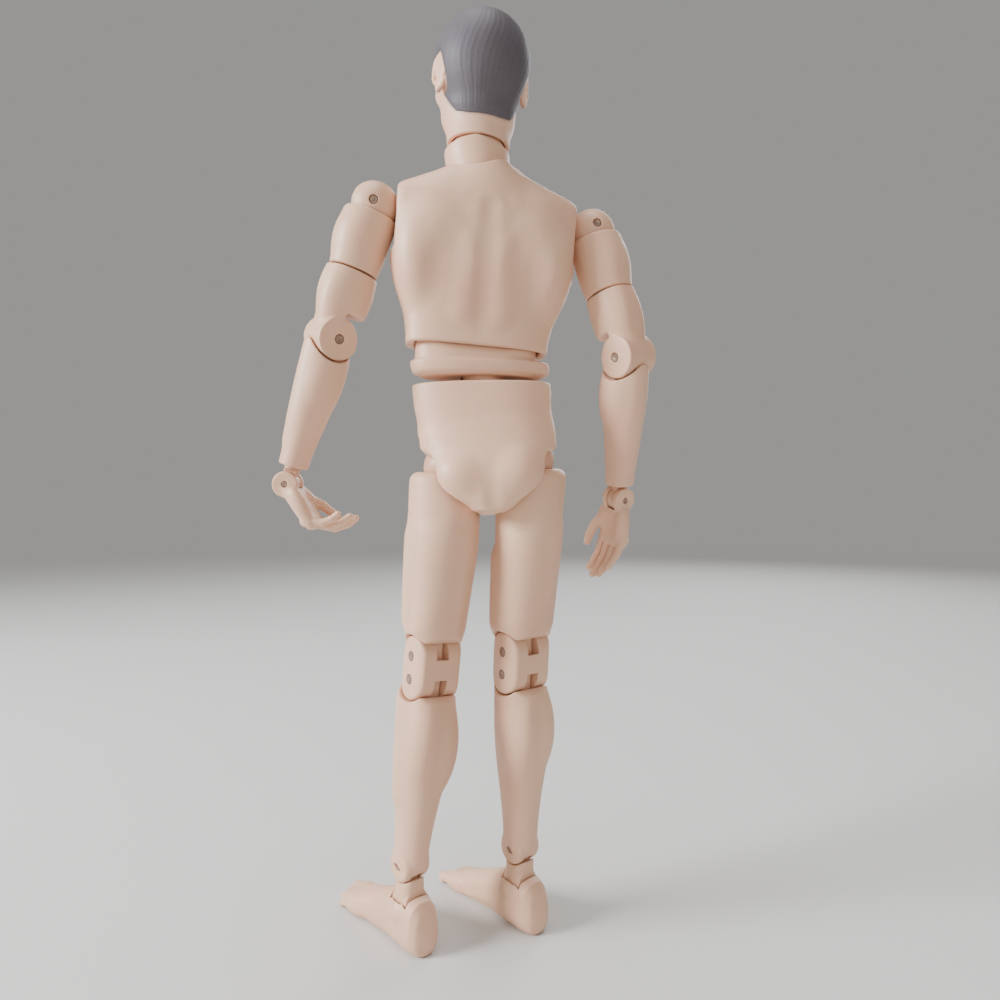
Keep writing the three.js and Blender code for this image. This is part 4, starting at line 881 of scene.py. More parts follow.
    def shin_field(p):
        d = loft(p, ts, 0.8)
        z = lambda v: v * gr
        x = lambda v: -low[0] * v / 57.6
        d = smin(d, ell(p, (3.4 * s + x(-18), 4.2, z(-18)), (5.2, 6.4, 13.0)), 2.2)
        d = smin(d, ell(p, (-3.4 * s + x(-20), 4.2, z(-20)), (5.4, 6.6, 14.0)), 2.2)
        d = cut(d, chain(p, [(x(-8), 12.2, z(-8)), (x(-20), 12.9, z(-20)), (x(-32), 11.0, z(-32))], [1.2, 1.2, 1.0]), 2.0)
        d = smin(d, cap(p, (x(-34), 3.4, z(-34)), (x(-56), 3.3, z(-56)), 3.2, 2.6), 2.2)
        d = smin(d, cap(p, (x(-3), -5.8, z(-3)), (x(-42), -3.7, z(-42)), 2.7, 2.2), 2.6)
        d = smin(d, cap(p, (3.6 * s, -4.2, z(-7)), (3.8 * s + x(-36), -1.6, z(-36)), 4.6, 3.4), 2.6)
        d = cut(d, rod(p, "x", KNEE_R + GAP + 0.1, 30), 0.5)
        back = (p - np.array([0, 0, -1.2])) @ turn("x", -32)[:3, :3]
        d = cut(d, box(back, (24, 20, 20), (0, 10, 10)), 0.6)
        d = cut(d, box(p, (30, 30, 12), (0, 0, 7.2)), 0.4)
        tongue = np.minimum(rod(p, "x", 3.3, KNEE_TONGUE, k=0.3), box(p, (KNEE_TONGUE, 6, 8), (0, 0, -4), 0.3))
        d = smin(d, tongue, 0.3)
        a = apply(ank, p)
        d = cut(d, cut(box(a, (20, 20, 20), (0, 0, -10)), rod(a, "x", ANKLE_R - 0.5, 20), 0.1), 0.5)
        d = smin(d, rod(a, "x", ANKLE_R - 0.5, 9.0, k=1.5), 1.2)
        fork = np.minimum(rod(a, "x", 3.6 + GAP, 3.4 + 2 * GAP), pie(a, "x", 2.2 + GAP, 3.4 + 2 * GAP, -27, 27))
        d = cut(d, fork, 0.3)
        return cut(d, rod(a, "x", 1.3, 30), 0.12)

    piece(f"{w}_shin_skin", f"{w}_shin", [f"{w}_shin"], shin_field, leg.pin2,
          (-11, -10, low[2] - 6), (11, 12.5, 4), 0.36, SKIN)
    pin(f"{w}_ankle_rivet", f"{w}_shin", f"{w}_ankle_pin", leg.flex, "x", 1.2, 8.7)

    def link_field(p):
        d = loft(p, LINK, 0.5)
        d = smin(d, rod(p, "y", 4.2, 7.6, (0, 0, -ANKLE_DROP), 0.7), 0.5)
        d = cut(d, rod(p, "x", ANKLE_R - 0.5 + GAP, 20), 0.4)
        d = smin(d, np.minimum(rod(p, "x", 3.6, 3.4, k=0.3), box(p, (3.4, 4.4, 7), (0, 0, -4.6), 0.3)), 0.3)
        d = cut(d, rod(p, "x", 1.2 + 0.1, 10), 0.1)
        return cut(d, rod(p, "y", 1.1 + 0.1, 12, (0, 0, -ANKLE_DROP)), 0.1)

    piece(f"{w}_ankle_joint", f"{w}_ankle_link", [f"{w}_ankle_link"], link_field, leg.flex,
          (-5, -5.4, -16), (5, 5.4, 4.5), 0.27, SKIN)
    pin(f"{w}_foot_rivet", f"{w}_foot", f"{w}_foot_pin", leg.tilt, "y", 1.1, 11.2)

    # foot
    down = -(ANKLE[s][2] - ANKLE_DROP)

    def foot_field(p):
        t = -p[:, 1]                                # forward
        x = p[:, 0] - s * 0.4 * np.maximum(0, (t - 4) / 30)
        z = p[:, 2] - down                          # above the ground
        big = -s                                    # the big toe's side
        # heel, arch and instep as a loft along the foot
        half = np.interp(t, FOOT[:, 0], FOOT[:, 1])
        high = np.interp(t, FOOT[:, 0], FOOT[:, 2])
        zc, zr = high / 2, high / 2 + 0.3
        e = 2.6
        r = np.sqrt(x * x + (z - zc) ** 2) + 1e-9
        gg = ((np.abs(x) / half) ** e + (np.abs(z - zc) / zr) ** e) ** (1 / e) + 1e-9
        d = r - r / gg
        d = smax(d, np.maximum(t - 34.0, -HEEL_BACK + 0.4 - t), 1.8)
        f = np.stack([x, t, z], 1)
        d = smin(d, ell(f, (0, -4.8, 5.4), (5.2, 5.4, 5.8)), 1.8)
        d = smin(d, cap(f, (0, 7.0, 11.0), (big * 1.0, 24, 5.4), 2.6, 2.0), 3.2)
        d = smin(d, ell(f, (big * 3.3, 28.2, 3.3), (3.0, 5.2, 3.1)), 1.8)
        d = smin(d, ell(f, (-big * 3.4, 25.2, 2.8), (2.8, 6.0, 2.7)), 1.8)
        d = smin(d, ell(f, (big * 4.6, 1.2, 12.4), (2.0, 2.8, 2.5)), 1.4)
        d = smin(d, ell(f, (-big * 4.7, 0.0, 11.2), (1.9, 2.7, 2.4)), 1.4)
        d = cut(d, ell(f, (big * 7.4, 11.5, 0.6), (3.6, 9.5, 2.6)), 1.6)
        toes = [(3.75, 37.6, 1.95, 30.2), (1.15, 37.4, 1.42, 31.6), (-1.05, 36.3, 1.36, 30.8), (-3.1, 34.8, 1.28, 29.4), (-4.85, 32.8, 1.2, 27.8)]
        for tx, tip, rr, root in toes:
            m1 = (big * (tx * 0.98), (root + tip) / 2 + 0.5, rr + 0.7)
            tt = chain(f, [(big * (tx * 0.9), root - 2.5, 2.5), m1, (big * tx, tip - rr * 0.6, rr * 0.98)], [rr * 1.02, rr * 0.92, rr], 0.6)
            d = smin(d, tt, 0.45)
            d = cut(d, ell(f, (big * tx, tip - rr * 0.35, rr * 1.98), (rr * 0.6, rr * 0.7, 0.22)), 0.15)
        d = smax(d, -z, 0.5)
        swung = None
        for a in (-17, -8.5, 0, 8.5, 17):
            c = loft(p @ turn("y", a)[:3, :3], COLLAR, 0.3)
            swung = c if swung is None else np.minimum(swung, c)
        d = cut(d, np.minimum(rod(p, "y", 4.2 + GAP, 7.6 + 2 * GAP), swung), 0.5)
        return cut(d, rod(p, "y", 1.2, 11.6), 0.1)

    piece(f"{w}_foot_skin", f"{w}_foot", [f"{w}_foot"], foot_field, leg.tilt,
          (-9.0, -40, down - 0.2), (9.0, 11.0, 5), 0.3, SKIN)


FOOT = np.array([[-HEEL_BACK - 0.2, 3.0, 7.5], [-HEEL_BACK + 1, 4.3, 12.2], [-7, 5.4, 15.0], [-3, 6.1, 16.5], [0, 6.3, 17.1], [3, 6.0, 16.8], [5, 5.7, 16.1],
                 [10, 5.2, 13.0], [17, 5.2, 9.8], [25, 5.6, 7.0], [31, 5.4, 5.2], [35, 4.9, 4.3], [39, 4.2, 3.6]])
LINK = table([[-ANKLE_DROP, 4.2, 3.8, 3.8, 0, 0, 2.6], [-8, 4.1, 4.2, 4.2, 0, 0, 2.6], [-3.6, 3.8, 4.6, 4.6, 0, 0, 2.6]])
COLLAR = table([[0, 4.2 + GAP, 4.2 + GAP, 4.2 + GAP, 0, 0, 2.6], [3.2, 4.1 + GAP, 4.2 + GAP, 4.2 + GAP, 0, 0, 2.6], [8, 3.9 + GAP, 5.0 + GAP, 5.0 + GAP, 0, 0, 2.6]])
for leg in LEGS.values():
    build_leg(leg)

# ------------------------------------------------------------------------ arms
BICEPS = [[-46, 6.2, 6.2, 6.2, 0, 0, 2.2], [-41, 6.5, 6.6, 6.6, 0, 0, 2.2], [-34, 6.9, 7.2, 7.0, 0, 0, 2.1],
          [-27, 7.4, 7.6, 7.5, 0, 0, 2.1], [SWIVEL_Z - GAP, 7.6, 7.7, 7.7, 0, 0, 2.1]]
FOREARM = [[-42.2, 4.7, 4.5, 4.5, 0, 0, 2.2], [-36, 5.0, 4.9, 4.9, 0, 0, 2.2], [-27, 5.8, 6.1, 6.0, 0, 0, 2.1],
           [-17, 6.5, 7.2, 6.9, 0, -0.2, 2.1], [-9, 6.8, 7.5, 7.2, 0, -0.2, 2.1], [-2, 6.6, 7.2, 6.9, 0, 0, 2.2], [2.5, 6.4, 6.9, 6.6, 0, 0, 2.2]]


def build_arm(s):
    w = "left" if s > 0 else "right"
    at = apply(CHEST_M, [(s * SHOULDER[0], SHOULDER[1], SHOULDER[2])])[0]
    elbow, wrist = np.array(ELBOW[s], float), np.array(WRIST[s], float)
    cx = CHEST_M[:3, 0]
    hub_m = hinged(at, at - elbow, cx)
    arm_m = frame_at(at, at - elbow, cx)
    bicep_m = frame_at(elbow, at - elbow, ELBOW_AXIS[s])
    fore_m = frame_at(elbow, elbow - wrist, ELBOW_AXIS[s])
    peg_m = frame_at(wrist, elbow - wrist, WRIST_AXIS[s])
    hand_m = peg_m @ turn("x", -HAND_BEND[s])
    long = np.linalg.norm(at - elbow)
    to_arm = inv(inv(hub_m) @ arm_m)

    def hub_field(p):
        q = p * np.array([-s, 1, 1])
        d = ball(p, SHOULDER_R)
        d = smin(d, rod(q, "x", 2.6, 8.6, (SHOULDER_R + 3.2, 0, 0), 0.3), 0.4)
        t = apply(to_arm, p)
        slot = np.minimum(rod(t, "y", 5.2 + GAP, 4.8 + 2 * GAP),
                          pie(t, "y", 3.3 + GAP, 4.8 + 2 * GAP, -78 if s > 0 else -10, 10 if s > 0 else 78))
        d = cut(d, slot, 0.4)
        return cut(d, rod(p, "y", 1.42, 30), 0.15)

    piece(f"{w}_shoulder_ball", f"{w}_shoulder_hub", [f"{w}_shoulder_hub"], hub_field, hub_m, (-16, -8.5, -8.5), (16, 8.5, 8.5), 0.3, SKIN)
    pin(f"{w}_shoulder_rivet", f"{w}_shoulder_hub", f"{w}_shoulder_pin", hub_m, "y", 1.3, 14.2)

    td = table([[*v[:4], v[4] * s, v[5], v[6]] for v in DELTOID])

    def arm_field(p):
        d = loft(p, td, 0.5)
        d = smin(d, ell(p, (s * 2.0, 0, -11.5), (6.9, 7.4, 9.0)), 1.8)
        d = smin(d, ell(p, (s * 0.8, -3.2, -10.5), (5.8, 5.6, 9.0)), 1.6)
        d = smin(d, ell(p, (s * 0.8, 3.4, -10.5), (5.8, 5.6, 9.0)), 1.6)
        d = smax(d, p[:, 2] + 2.6, 1.6)
        d = smax(d, SWIVEL_Z - p[:, 2], 0.4)
        d = cut(d, ball(p, SHOULDER_R + GAP), 0.5)
        tongue = np.minimum(rod(p, "y", 5.2, 4.8, k=0.3), box(p, (6.6, 4.8, 12), (0, 0, -6), 0.3))
        d = smin(d, tongue, 0.4)
        d = smin(d, rod(p, "z", 2.8, 9, (0, 0, SWIVEL_Z - 4), 0.2), 0.2)
        d = smin(d, rod(p, "z", 4.0, 1.8, (0, 0, SWIVEL_Z - 8.2), 0.2), 0.2)
        return cut(d, rod(p, "y", 1.3 + GAP, 12), 0.15)

    piece(f"{w}_upper_arm_skin", f"{w}_upper_arm", [f"{w}_upper_arm"], arm_field, arm_m, (-11, -10, SWIVEL_Z - 10), (11, 10, 6), 0.36, SKIN)

    grade = (long + SWIVEL_Z) / (44.7 + SWIVEL_Z)
    tb = table([[(SWIVEL_Z + (v[0] - SWIVEL_Z) * grade if v[0] < SWIVEL_Z - 1 else v[0]) + long, *v[1:]] for v in BICEPS])
    flexed = math.degrees(math.acos(np.clip(np.dot(unit(at - elbow), unit(elbow - wrist)), -1, 1)))
    to_fore = inv(inv(bicep_m) @ fore_m)
    top = long + SWIVEL_Z - GAP

    def bicep_field(p):
        d = loft(p, tb, 0.5)
        d = smin(d, ell(p, (0, -2.6, 14.0), (5.6, 6.2, 11.5)), 2.0)
        d = smin(d, ell(p, (-1.6, 2.6, 13.5), (4.8, 5.6, 11.0)), 1.8)
        d = smin(d, ell(p, (2.0, 2.8, 15.5), (4.6, 5.4, 10.0)), 1.8)
        d = cut(d, chain(p, [(8.8, 0.2, 5), (9.4, -0.4, 18)], [0.9, 0.9]), 1.8)
        d = cut(d, chain(p, [(-8.8, 0.2, 5), (-9.4, -0.4, 18)], [0.9, 0.9]), 1.8)
        d = smax(d, p[:, 2] - top, 0.4)
        d = cut(d, cut(box(p, (30, 30, 20), (0, 0, -10)), rod(p, "x", ELBOW_R, 30), 0.1), 0.5)
        d = smin(d, rod(p, "x", ELBOW_R, 12.2, k=0.7), 0.9)
        d = cut(d, cut(box(p, (30, 14, 8.2), (0, -7, 4.1), 0.8), rod(p, "x", ELBOW_R, 40), 0.1), 1.3)
        t = apply(to_fore, p)
        slot = np.minimum(rod(t, "x", 4.6 + GAP, 4.6 + 2 * GAP), pie(t, "x", 2.7 + GAP, 4.6 + 2 * GAP, flexed - 94, flexed + 4))
        d = cut(d, slot, 0.3)
        d = cut(d, rod(p, "x", 1.52, 20), 0.15)
        sock = np.minimum(rod(p, "z", 2.8 + GAP, 10, (0, 0, long + SWIVEL_Z - 4)), rod(p, "z", 4.0 + GAP, 1.8 + 2 * GAP, (0, 0, long + SWIVEL_Z - 8.2)))
        return cut(d, sock, 0.2)

    piece(f"{w}_bicep_skin", f"{w}_bicep", [f"{w}_bicep"], bicep_field, bicep_m, (-10, -10, -7.5), (10, 10, top + 0.5), 0.34, SKIN)
    pin(f"{w}_elbow_rivet", f"{w}_bicep", f"{w}_elbow_pin", bicep_m, "x", 1.4, 12.5)

    tf = table(FOREARM)

    def fore_field(p):
        d = loft(p, tf, 0.5)
        d = smin(d, ell(p, (4.0, -1.6, -12), (3.8, 5.2, 11.0)), 2.0)
        d = smin(d, ell(p, (-3.4, -1.0, -13), (4.0, 5.4, 11.5)), 2.0)
        d = smin(d, cap(p, (0.6, 4.6, -4), (0.8, 2.6, -34), 2.6, 2.2), 2.2)
        d = cut(d, chain(p, [(0.6, -9.0, -6), (0, -8.6, -18), (0, -6.8, -30)], [1.0, 1.2, 0.9]), 2.0)
        f = (p - np.array([0, 0, -1.0])) @ turn("x", 28)[:3, :3]
        d = cut(d, box(f, (24, 20, 20), (0, -10, 10)), 0.6)
        d = cut(d, rod(p, "x", ELBOW_R + GAP + 0.2, 30), 0.5)
        d = cut(d, box(p, (30, 30, 12), (0, 0, 6.6)), 0.5)
        tongue = np.minimum(rod(p, "x", 4.6, 4.6, k=0.3), box(p, (4.6, 5.4, 10), (0, 0, -5), 0.3))
        d = smin(d, tongue, 0.3)
        d = cut(d, rod(p, "x", 1.4 + GAP, 20), 0.15)
        return cut(d, rod(p, "z", 2.3 + GAP, 11, (0, 0, -37.5)), 0.2)

    piece(f"{w}_forearm_skin", f"{w}_forearm", [f"{w}_forearm"], fore_field, fore_m, (-9.5, -10, -43.5), (9.5, 9.5, 5.5), 0.34, SKIN)

    def peg_field(p):
        d = np.minimum(rod(p, "x", 3.8, 2.8, k=0.3), box(p, (2.8, 4.4, 5), (0, 0, 3.4), 0.3))
        d = smin(d, rod(p, "z", 2.3, 8.6, (0, 0, 9.2), 0.3), 0.5)
        return cut(d, rod(p, "x", 1.0, 6), 0.1)

    piece(f"{w}_wrist_joint", f"{w}_wrist_peg", [f"{w}_wrist_peg"], peg_field, peg_m, (-3, -4.2, -4.2), (3, 4.2, 14), 0.22, JOINT)

    curl = CURL[s]
    if curl > 40:
        bends = (curl - 22, curl + 8, curl + 26)
    else:
        bends = (curl - 8, curl + 6, curl + 18)

    def finger(p, x, base, lengths, radii, fan, extra=0.0):
        """Three bones from a knuckle, bending towards -Y."""
        pts, at_ = [np.array([x, -0.5, -base])], np.array([x, -0.5, -base])
        for ln, b in zip(lengths, bends):
            a = math.radians(b + extra)
            at_ = at_ + ln * np.array([math.sin(math.radians(fan)) * math.cos(a), -math.sin(a), -math.cos(a)])
            pts.append(at_)
        return chain(p, pts, radii, 0.25)

    def hand_field(p):
        t = s
        d = loft(p, PALM_T, 1.4)
        d = smin(d, ell(p, (t * 4.0, -1.4, -6.8), (2.7, 2.3, 4.6)), 1.2)
        d = smin(d, ell(p, (-t * 4.2, -1.2, -7.4), (2.0, 2.0, 5.0)), 1.2)
        d = cut(d, ell(p, (0, -3.6, -9.8), (3.0, 1.3, 4.0)), 1.4)
        for x, base, ln, r, fan, ex in ((4.85, 14.8, (5.5, 3.8, 2.9), 1.46, 4, -4), (1.65, 15.4, (5.9, 4.2, 3.1), 1.52, 1, 0),
                                        (-1.6, 15.0, (5.5, 3.9, 3.0), 1.46, -2, 3), (-4.6, 13.8, (4.5, 3.0, 2.5), 1.28, -5, 6)):
            f = finger(p, t * x, base, ln, (r * 1.06, r * 0.98, r * 0.9, r * 0.78), t * fan, ex)
            d = smin(d, f, 0.42)
            d = smin(d, ell(p, (t * x, 1.2, -base + 0.4), (1.25, 1.1, 1.5)), 0.9)
        k1 = np.array([t * 4.7, -1.4, -7.0])
        k2 = k1 + np.array([t * 2.0, -2.3, -4.0])
        k3 = k2 + np.array([t * 0.7, -1.1, -3.4])
        k4 = k3 + np.array([0.0, -0.8, -2.6])
        d = smin(d, chain(p, [k1, k2, k3, k4], (2.0, 1.62, 1.45, 1.2), 0.4), 0.8)
        d = smin(d, rod(p, "x", 4.1, 7.4, k=0.6), 1.0)
        d = cut(d, rod(p, "x", 4.35, 2.8 + 2 * GAP), 0.2)
        return cut(d, rod(p, "x", 1.0, 12), 0.1)

    piece(f"{w}_hand_skin", f"{w}_hand", [f"{w}_hand"], hand_field, hand_m, (-10, -17, -31.5), (10, 5, 5), 0.24, SKIN)
    pin(f"{w}_wrist_rivet", f"{w}_hand", f"{w}_wrist_pin", hand_m, "x", 0.9, 7.5)


PALM_T = table([[-PALM - 2.0, 5.9, 1.8, 2.0, 0, -0.5, 2.6], [-PALM + 0.2, 6.4, 2.3, 2.3, 0, -0.3, 2.7],
                [-8.6, 6.2, 2.7, 2.6, 0, -0.1, 2.5], [-4, 5.0, 2.8, 2.8, 0, 0, 2.4], [0, 3.7, 2.8, 2.8, 0, 0, 2.2]])
for side in (1, -1):
    build_arm(side)

# ------------------------------------------------------------------------ neck
HEAD_REL = apply(inv(NECK_M), [HEAD_PIVOT])[0]
NECK_T = table([[-0.2, 9.5, 9.3, 9.8, 0, 0, 2], [4.5, 9.9, 9.6, 10.0, 0.3, -0.2, 2], [10, 10.3, 9.8, 10.2, 0.8, -0.7, 2], [15, 10.2, 9.4, 10.0, 0.8, -0.7, 2]])
NECK_TO_TILT = inv(inv(NECK_M) @ TILT_M)


def neck_field(p):
    q = mirror(p - np.array([0.4, 0, 0]))
    d = smin(ball(p, 9.5), loft(p, NECK_T, 0.6), 0.6)
    d = smin(d, cap(q, (7.4, 1.4, 13), (3.2, -8.0, 3.2), 1.7, 1.4), 1.8)
    d = smin(d, ell(p, (0.6, -9.0, 6.4), (1.7, 1.4, 2.2)), 1.4)
    t = apply(NECK_TO_TILT, p)
    # a saddle just below the head, deep enough for its tilt
    d = smax(d, t[:, 2] - (3.0 - 0.19 * np.abs(t[:, 0])), 0.5)
    d = smin(d, ball(p, 9.0, HEAD_REL), 0.3)
    d = cut(d, rod(t, "z", 2.9, 8, (0, 0, 6.2), 0.0, 5.4), 0.3)
    return cut(d, ball(p, 4 + GAP, HEAD_REL), 0.2)


piece("neck_skin", "neck", ["neck"], neck_field, NECK_M, (-12, -12, -10), (13, 12, 20), 0.36, SKIN)

# ------------------------------------------------------------------------ head
FACE_T = table([[7.9, 3.4, 4.0, 4, 0, -10.6, 2.2], [9.6, 6.4, 6.0, 8, 0, -9.6, 2.3], [12.5, 8.8, 8.0, 9, 0, -7.4, 2.3],
                [16.5, 10.6, 9.2, 10, 0, -6.0, 2.3], [21, 12.0, 9.8, 10, 0, -5.4, 2.3], [26, 12.9, 10.0, 10, 0, -5.4, 2.3],
                [31, 13.2, 10.4, 10, 0, -5.4, 2.3], [35, 12.6, 10.0, 10, 0, -5.2, 2.2]])
NAPE_T = table([[3.4, 10.0, 9.2, 9.8, 0, 0, 2], [8, 10.1, 9.6, 10.0, 0, -0.2, 2], [14, 10.6, 9.6, 11.6, 0, -0.2, 2.1], [20, 11.6, 9.6, 13.6, 0, 0, 2.1]])
CROWN = (0.6, 5.0, 43.0)
EYE = (5.5, -12.6, 27.3)
EYE_R = 3.15
EYE_SLANT = 0.04
LID_UP, LID_LOW = 0.98, 0.78


def skull_field(p):
    q = mirror(p)
    d = ell(p, (0, -0.2, 29.9), (14.3, 16.0, 14.3))
    d = smin(d, ell(p, (0, 4.4, 25.5), (12.6, 11.2, 11.2)), 3.0)
    d = smin(d, loft(p, FACE_T, 2.0), 3.0)
    d = smin(d, loft(p, NAPE_T, 0.8), 2.4)
    return d


def face_field(p):
    q = mirror(p)
    d = skull_field(p)
    # temples, cheek bones, jaw
    d = cut(d, ell(q, (16.2, -8.8, 30.6), (2.6, 5.0, 5.4)), 3.4)
    d = smin(d, ell(q, (8.0, -9.7, 22.6), (4.5, 4.7, 3.3), turn("y", 14)), 4.0)
    d = cut(d, ell(q, (13.0, -14.4, 16.4), (2.7, 2.8, 4.2)), 4.2)
    d = smin(d, ell(q, (8.0, -3.4, 13.4), (3.0, 6.4, 4.4), turn("x", -18)), 4.2)
    d = smin(d, chain(q, [(0.8, -15.0, 30.2), (4.6, -15.2, 30.9), (8.8, -12.6, 30.1)], [1.35, 1.35, 1.1]), 2.4)
    # eye sockets, balls and lids
    d = cut(d, ell(q, (5.4, -17.0, 27.1), (3.9, 2.7, 2.4)), 1.8)
    d = cut(d, ell(q, (2.1, -16.8, 27.3), (1.4, 1.5, 2.0)), 1.0)
    eye = q - np.array(EYE)
    lid = ball(q, EYE_R + 0.32, EYE)
    zz = eye[:, 2] - EYE_SLANT * eye[:, 0]
    u = np.clip(np.abs(eye[:, 0]) / 2.7, 0, 1)
    upper, lower = LID_UP * (1 - u ** 2), -LID_LOW * (1 - u ** 2)
    almond = np.maximum(np.maximum(zz - upper, lower - zz), (np.abs(eye[:, 0]) - 2.7))
    d = smin(d, lid, 0.6)
    d = smin(d, chain(q, [(2.6, -15.2, 28.9), (5.3, -15.8, 29.3), (8.1, -13.6, 28.5)], [0.45, 0.5, 0.4]), 1.0)
    d = cut(d, smax(almond * 0.9, eye[:, 1] + 0.5, 0), 0.16)
    d = np.minimum(d, ball(q, EYE_R, EYE))
    # nose
    d = smin(d, chain(p, [(0, -14.8, 29.2), (0, -16.1, 26.0), (0, -18.1, 21.9)], [1.3, 1.2, 1.4]), 1.6)
    d = smin(d, ell(p, (0, -18.3, 21.0), (1.6, 1.6, 1.5)), 0.9)
    d = smin(d, ell(q, (1.75, -16.8, 20.7), (1.25, 1.8, 1.3)), 0.6)
    d = smin(d, ell(q, (2.2, -15.2, 22.6), (1.8, 1.6, 3.2)), 1.8)
    d = cut(d, ell(q, (0.95, -17.7, 19.4), (0.5, 0.75, 0.5)), 0.25)
    # mouth and chin
    d = smin(d, ell(p, (0, -13.4, 15.6), (5.4, 3.0, 4.4)), 2.4)
    d = cut(d, cap(p, (0, -17.3, 19.0), (0, -17.2, 17.5), 0.34), 0.7)
    d = smin(d, chain(q, [(0, -16.0, 16.4), (1.1, -16.05, 16.65), (2.5, -15.8, 16.2), (3.8, -15.5, 15.8)], [0.85, 0.85, 0.7, 0.35], 0.3), 0.5)
    d = smin(d, chain(q, [(0, -15.8, 14.75), (1.3, -15.75, 14.8), (2.6, -15.6, 15.1), (3.7, -15.4, 15.5)], [1.0, 0.95, 0.7, 0.35], 0.3), 0.6)
    d = cut(d, chain(q, [(0, -17.15, 15.66), (1.6, -17.0, 15.74), (3.0, -16.6, 15.66), (4.2, -16.1, 15.62)], [0.4, 0.4, 0.36, 0.28], 0.2), 0.3)
    d = cut(d, ell(p, (0, -16.9, 12.7), (3.4, 1.0, 0.9)), 1.6)
    d = smin(d, ell(p, (0, -12.9, 10.6), (4.2, 2.9, 2.8)), 2.2)
    d = cut(d, ell(q, (4.8, -16.7, 17.8), (0.6, 0.8, 2.4), turn("y", -28)), 1.8)
    # ears
    tip = turn("z", -22) @ turn("x", -10)
    e = (q - np.array([13.6, 1.6, 23.6])) @ (turn("z", 24) @ turn("x", 10))[:3, :3]
    ear = ell(e, (0, 0.4, 0.2), (1.35, 3.3, 5.3))
    ear = cut(ear, ell(e, (1.5, -0.1, 0.4), (1.3, 2.2, 3.9)), 0.35)
    rim = np.sqrt((np.sqrt((e[:, 1] - 0.4) ** 2 * 2.45 + (e[:, 2] - 0.2) ** 2) - 4.9) ** 2 * 0.6 + (e[:, 0] - 0.5) ** 2) - 0.52
    rim = np.where(e[:, 2] > -2.6, rim, 5)
    ear = smin(ear, rim, 0.4)
    ear = smin(ear, chain(e, [(0.5, 1.2, 3.2), (0.7, 1.5, 0.4), (0.5, 0.5, -2.4)], [0.5, 0.6, 0.5]), 0.4)
    ear = smin(ear, ell(e, (0.1, -0.8, -4.3), (1.0, 1.5, 1.5)), 0.6)
    ear = smin(ear, ell(e, (0.6, -2.3, -0.6), (0.7, 0.8, 1.1)), 0.4)
    ear = cut(ear, ell(e, (1.2, -0.5, -1.2), (1.1, 1.4, 1.5)), 0.3)
    d = smin(d, ear, 0.7)
    # joints
    d = cut(d, ball(p, 9.0 + GAP), 0.4)
    d = smax(d, 3.4 - p[:, 2], 0.5)
    return d


def hair_edge(p):
    """Below 0 where the hair grows: over the crown, behind the temples, round the ears, down to the nape."""
    q = mirror(p)
    x, y, z = q[:, 0], q[:, 1], q[:, 2]
    front = y + 7.6 + 0.42 * (38.0 - z) - 0.055 * x * x * (z > 20) * 0.55     # hairline towards the brow
    front = np.where(z > 41.5, -(z - 41.5) - 3.0 + front * 0.3, front)
    # the front line: a level at the forehead and a slope down to the sideburn
    lo_line = np.interp(y, [-17, -12, -8.5, -6.6, -5.0, -3.9], [37.6, 37.0, 34.6, 30.5, 24.5, 21.0])
    a = lo_line - z
    # round the ear
    ear = 5.3 - np.sqrt(((y - 1.9) * 1.28) ** 2 + (z - 23.8) ** 2 * 0.78)
    # the nape
    nape = np.interp(y, [-3, 2, 6, 9, 12], [23.0, 16.0, 10.6, 9.3, 9.0]) - z
    region = np.where(y < -3.4, a, smax(np.where(x > 8, ear, -9), nape, 0.8))
    burn = np.abs(y + 4.4) - 1.5
    low = np.where(y < -2.9, np.maximum(a, 21.5 - z), region)
    return low


def hair_field(p):
    x, y, z = p[:, 0], p[:, 1], p[:, 2]
    base = skull_field(p)
    q = mirror(p)
    base = cut(base, ell(q, (15.4, -8.6, 30.5), (2.6, 5.0, 5.4)), 3.0)
    crown = np.array(CROWN)
    v = p - crown
    ang = np.arctan2(v[:, 0], -v[:, 1])
    dist = np.sqrt((v ** 2).sum(1))
    lock = 0.02 * np.sin(ang * 17 + dist * 0.34 + 1.1 * np.sin(ang * 5)) + 0.02 * np.sin(ang * 41 + dist * 0.8 + 2 * np.sin(dist * 0.35))
    lock = lock * np.clip((dist - 2) / 6, 0, 1)
    thick = 0.75 + lock
    edge = hair_edge(p)
    fade = np.clip(-edge / 2.2, 0, 1)
    d = base - thick * (0.35 + 0.65 * fade)
    d = smax(d, edge * 0.75, 0.5)
    d = smax(d, -(base + 1.6), 0.2)
    d = cut(d, ball(p, 9.0 + GAP), 0.3)
    return d


def mark_lips(v):
    x, z = np.abs(v[:, 0]), v[:, 2]
    u = 1 - np.clip(x / 4.5, 0, 1) ** 2
    top = 15.66 + (1.3 - 0.3 * np.exp(-(x / 0.55) ** 2)) * u
    low = 15.66 - 1.5 * u
    return np.clip(np.minimum(top - z, z - low) / 0.4 + 0.3, 0, 1) * 0.5 * (v[:, 1] < -14) * (x < 4.5)


def eye_dist(v):
    q = mirror(v)
    return q - np.array(EYE)


def mark_white(v):
    e = eye_dist(v)
    on = (np.abs(np.sqrt((e ** 2).sum(1)) - EYE_R) < 0.1) & (e[:, 1] < -1.0) & (np.abs(e[:, 2]) < 1.6) & (np.abs(e[:, 0]) < 2.8)
    return on.astype(float)


def mark_iris(v):
    e = eye_dist(v)
    r = np.sqrt((e[:, 0]) ** 2 + (e[:, 2] - 0.1) ** 2)
    return mark_white(v) * np.clip((1.25 - r) / 0.2, 0, 1)
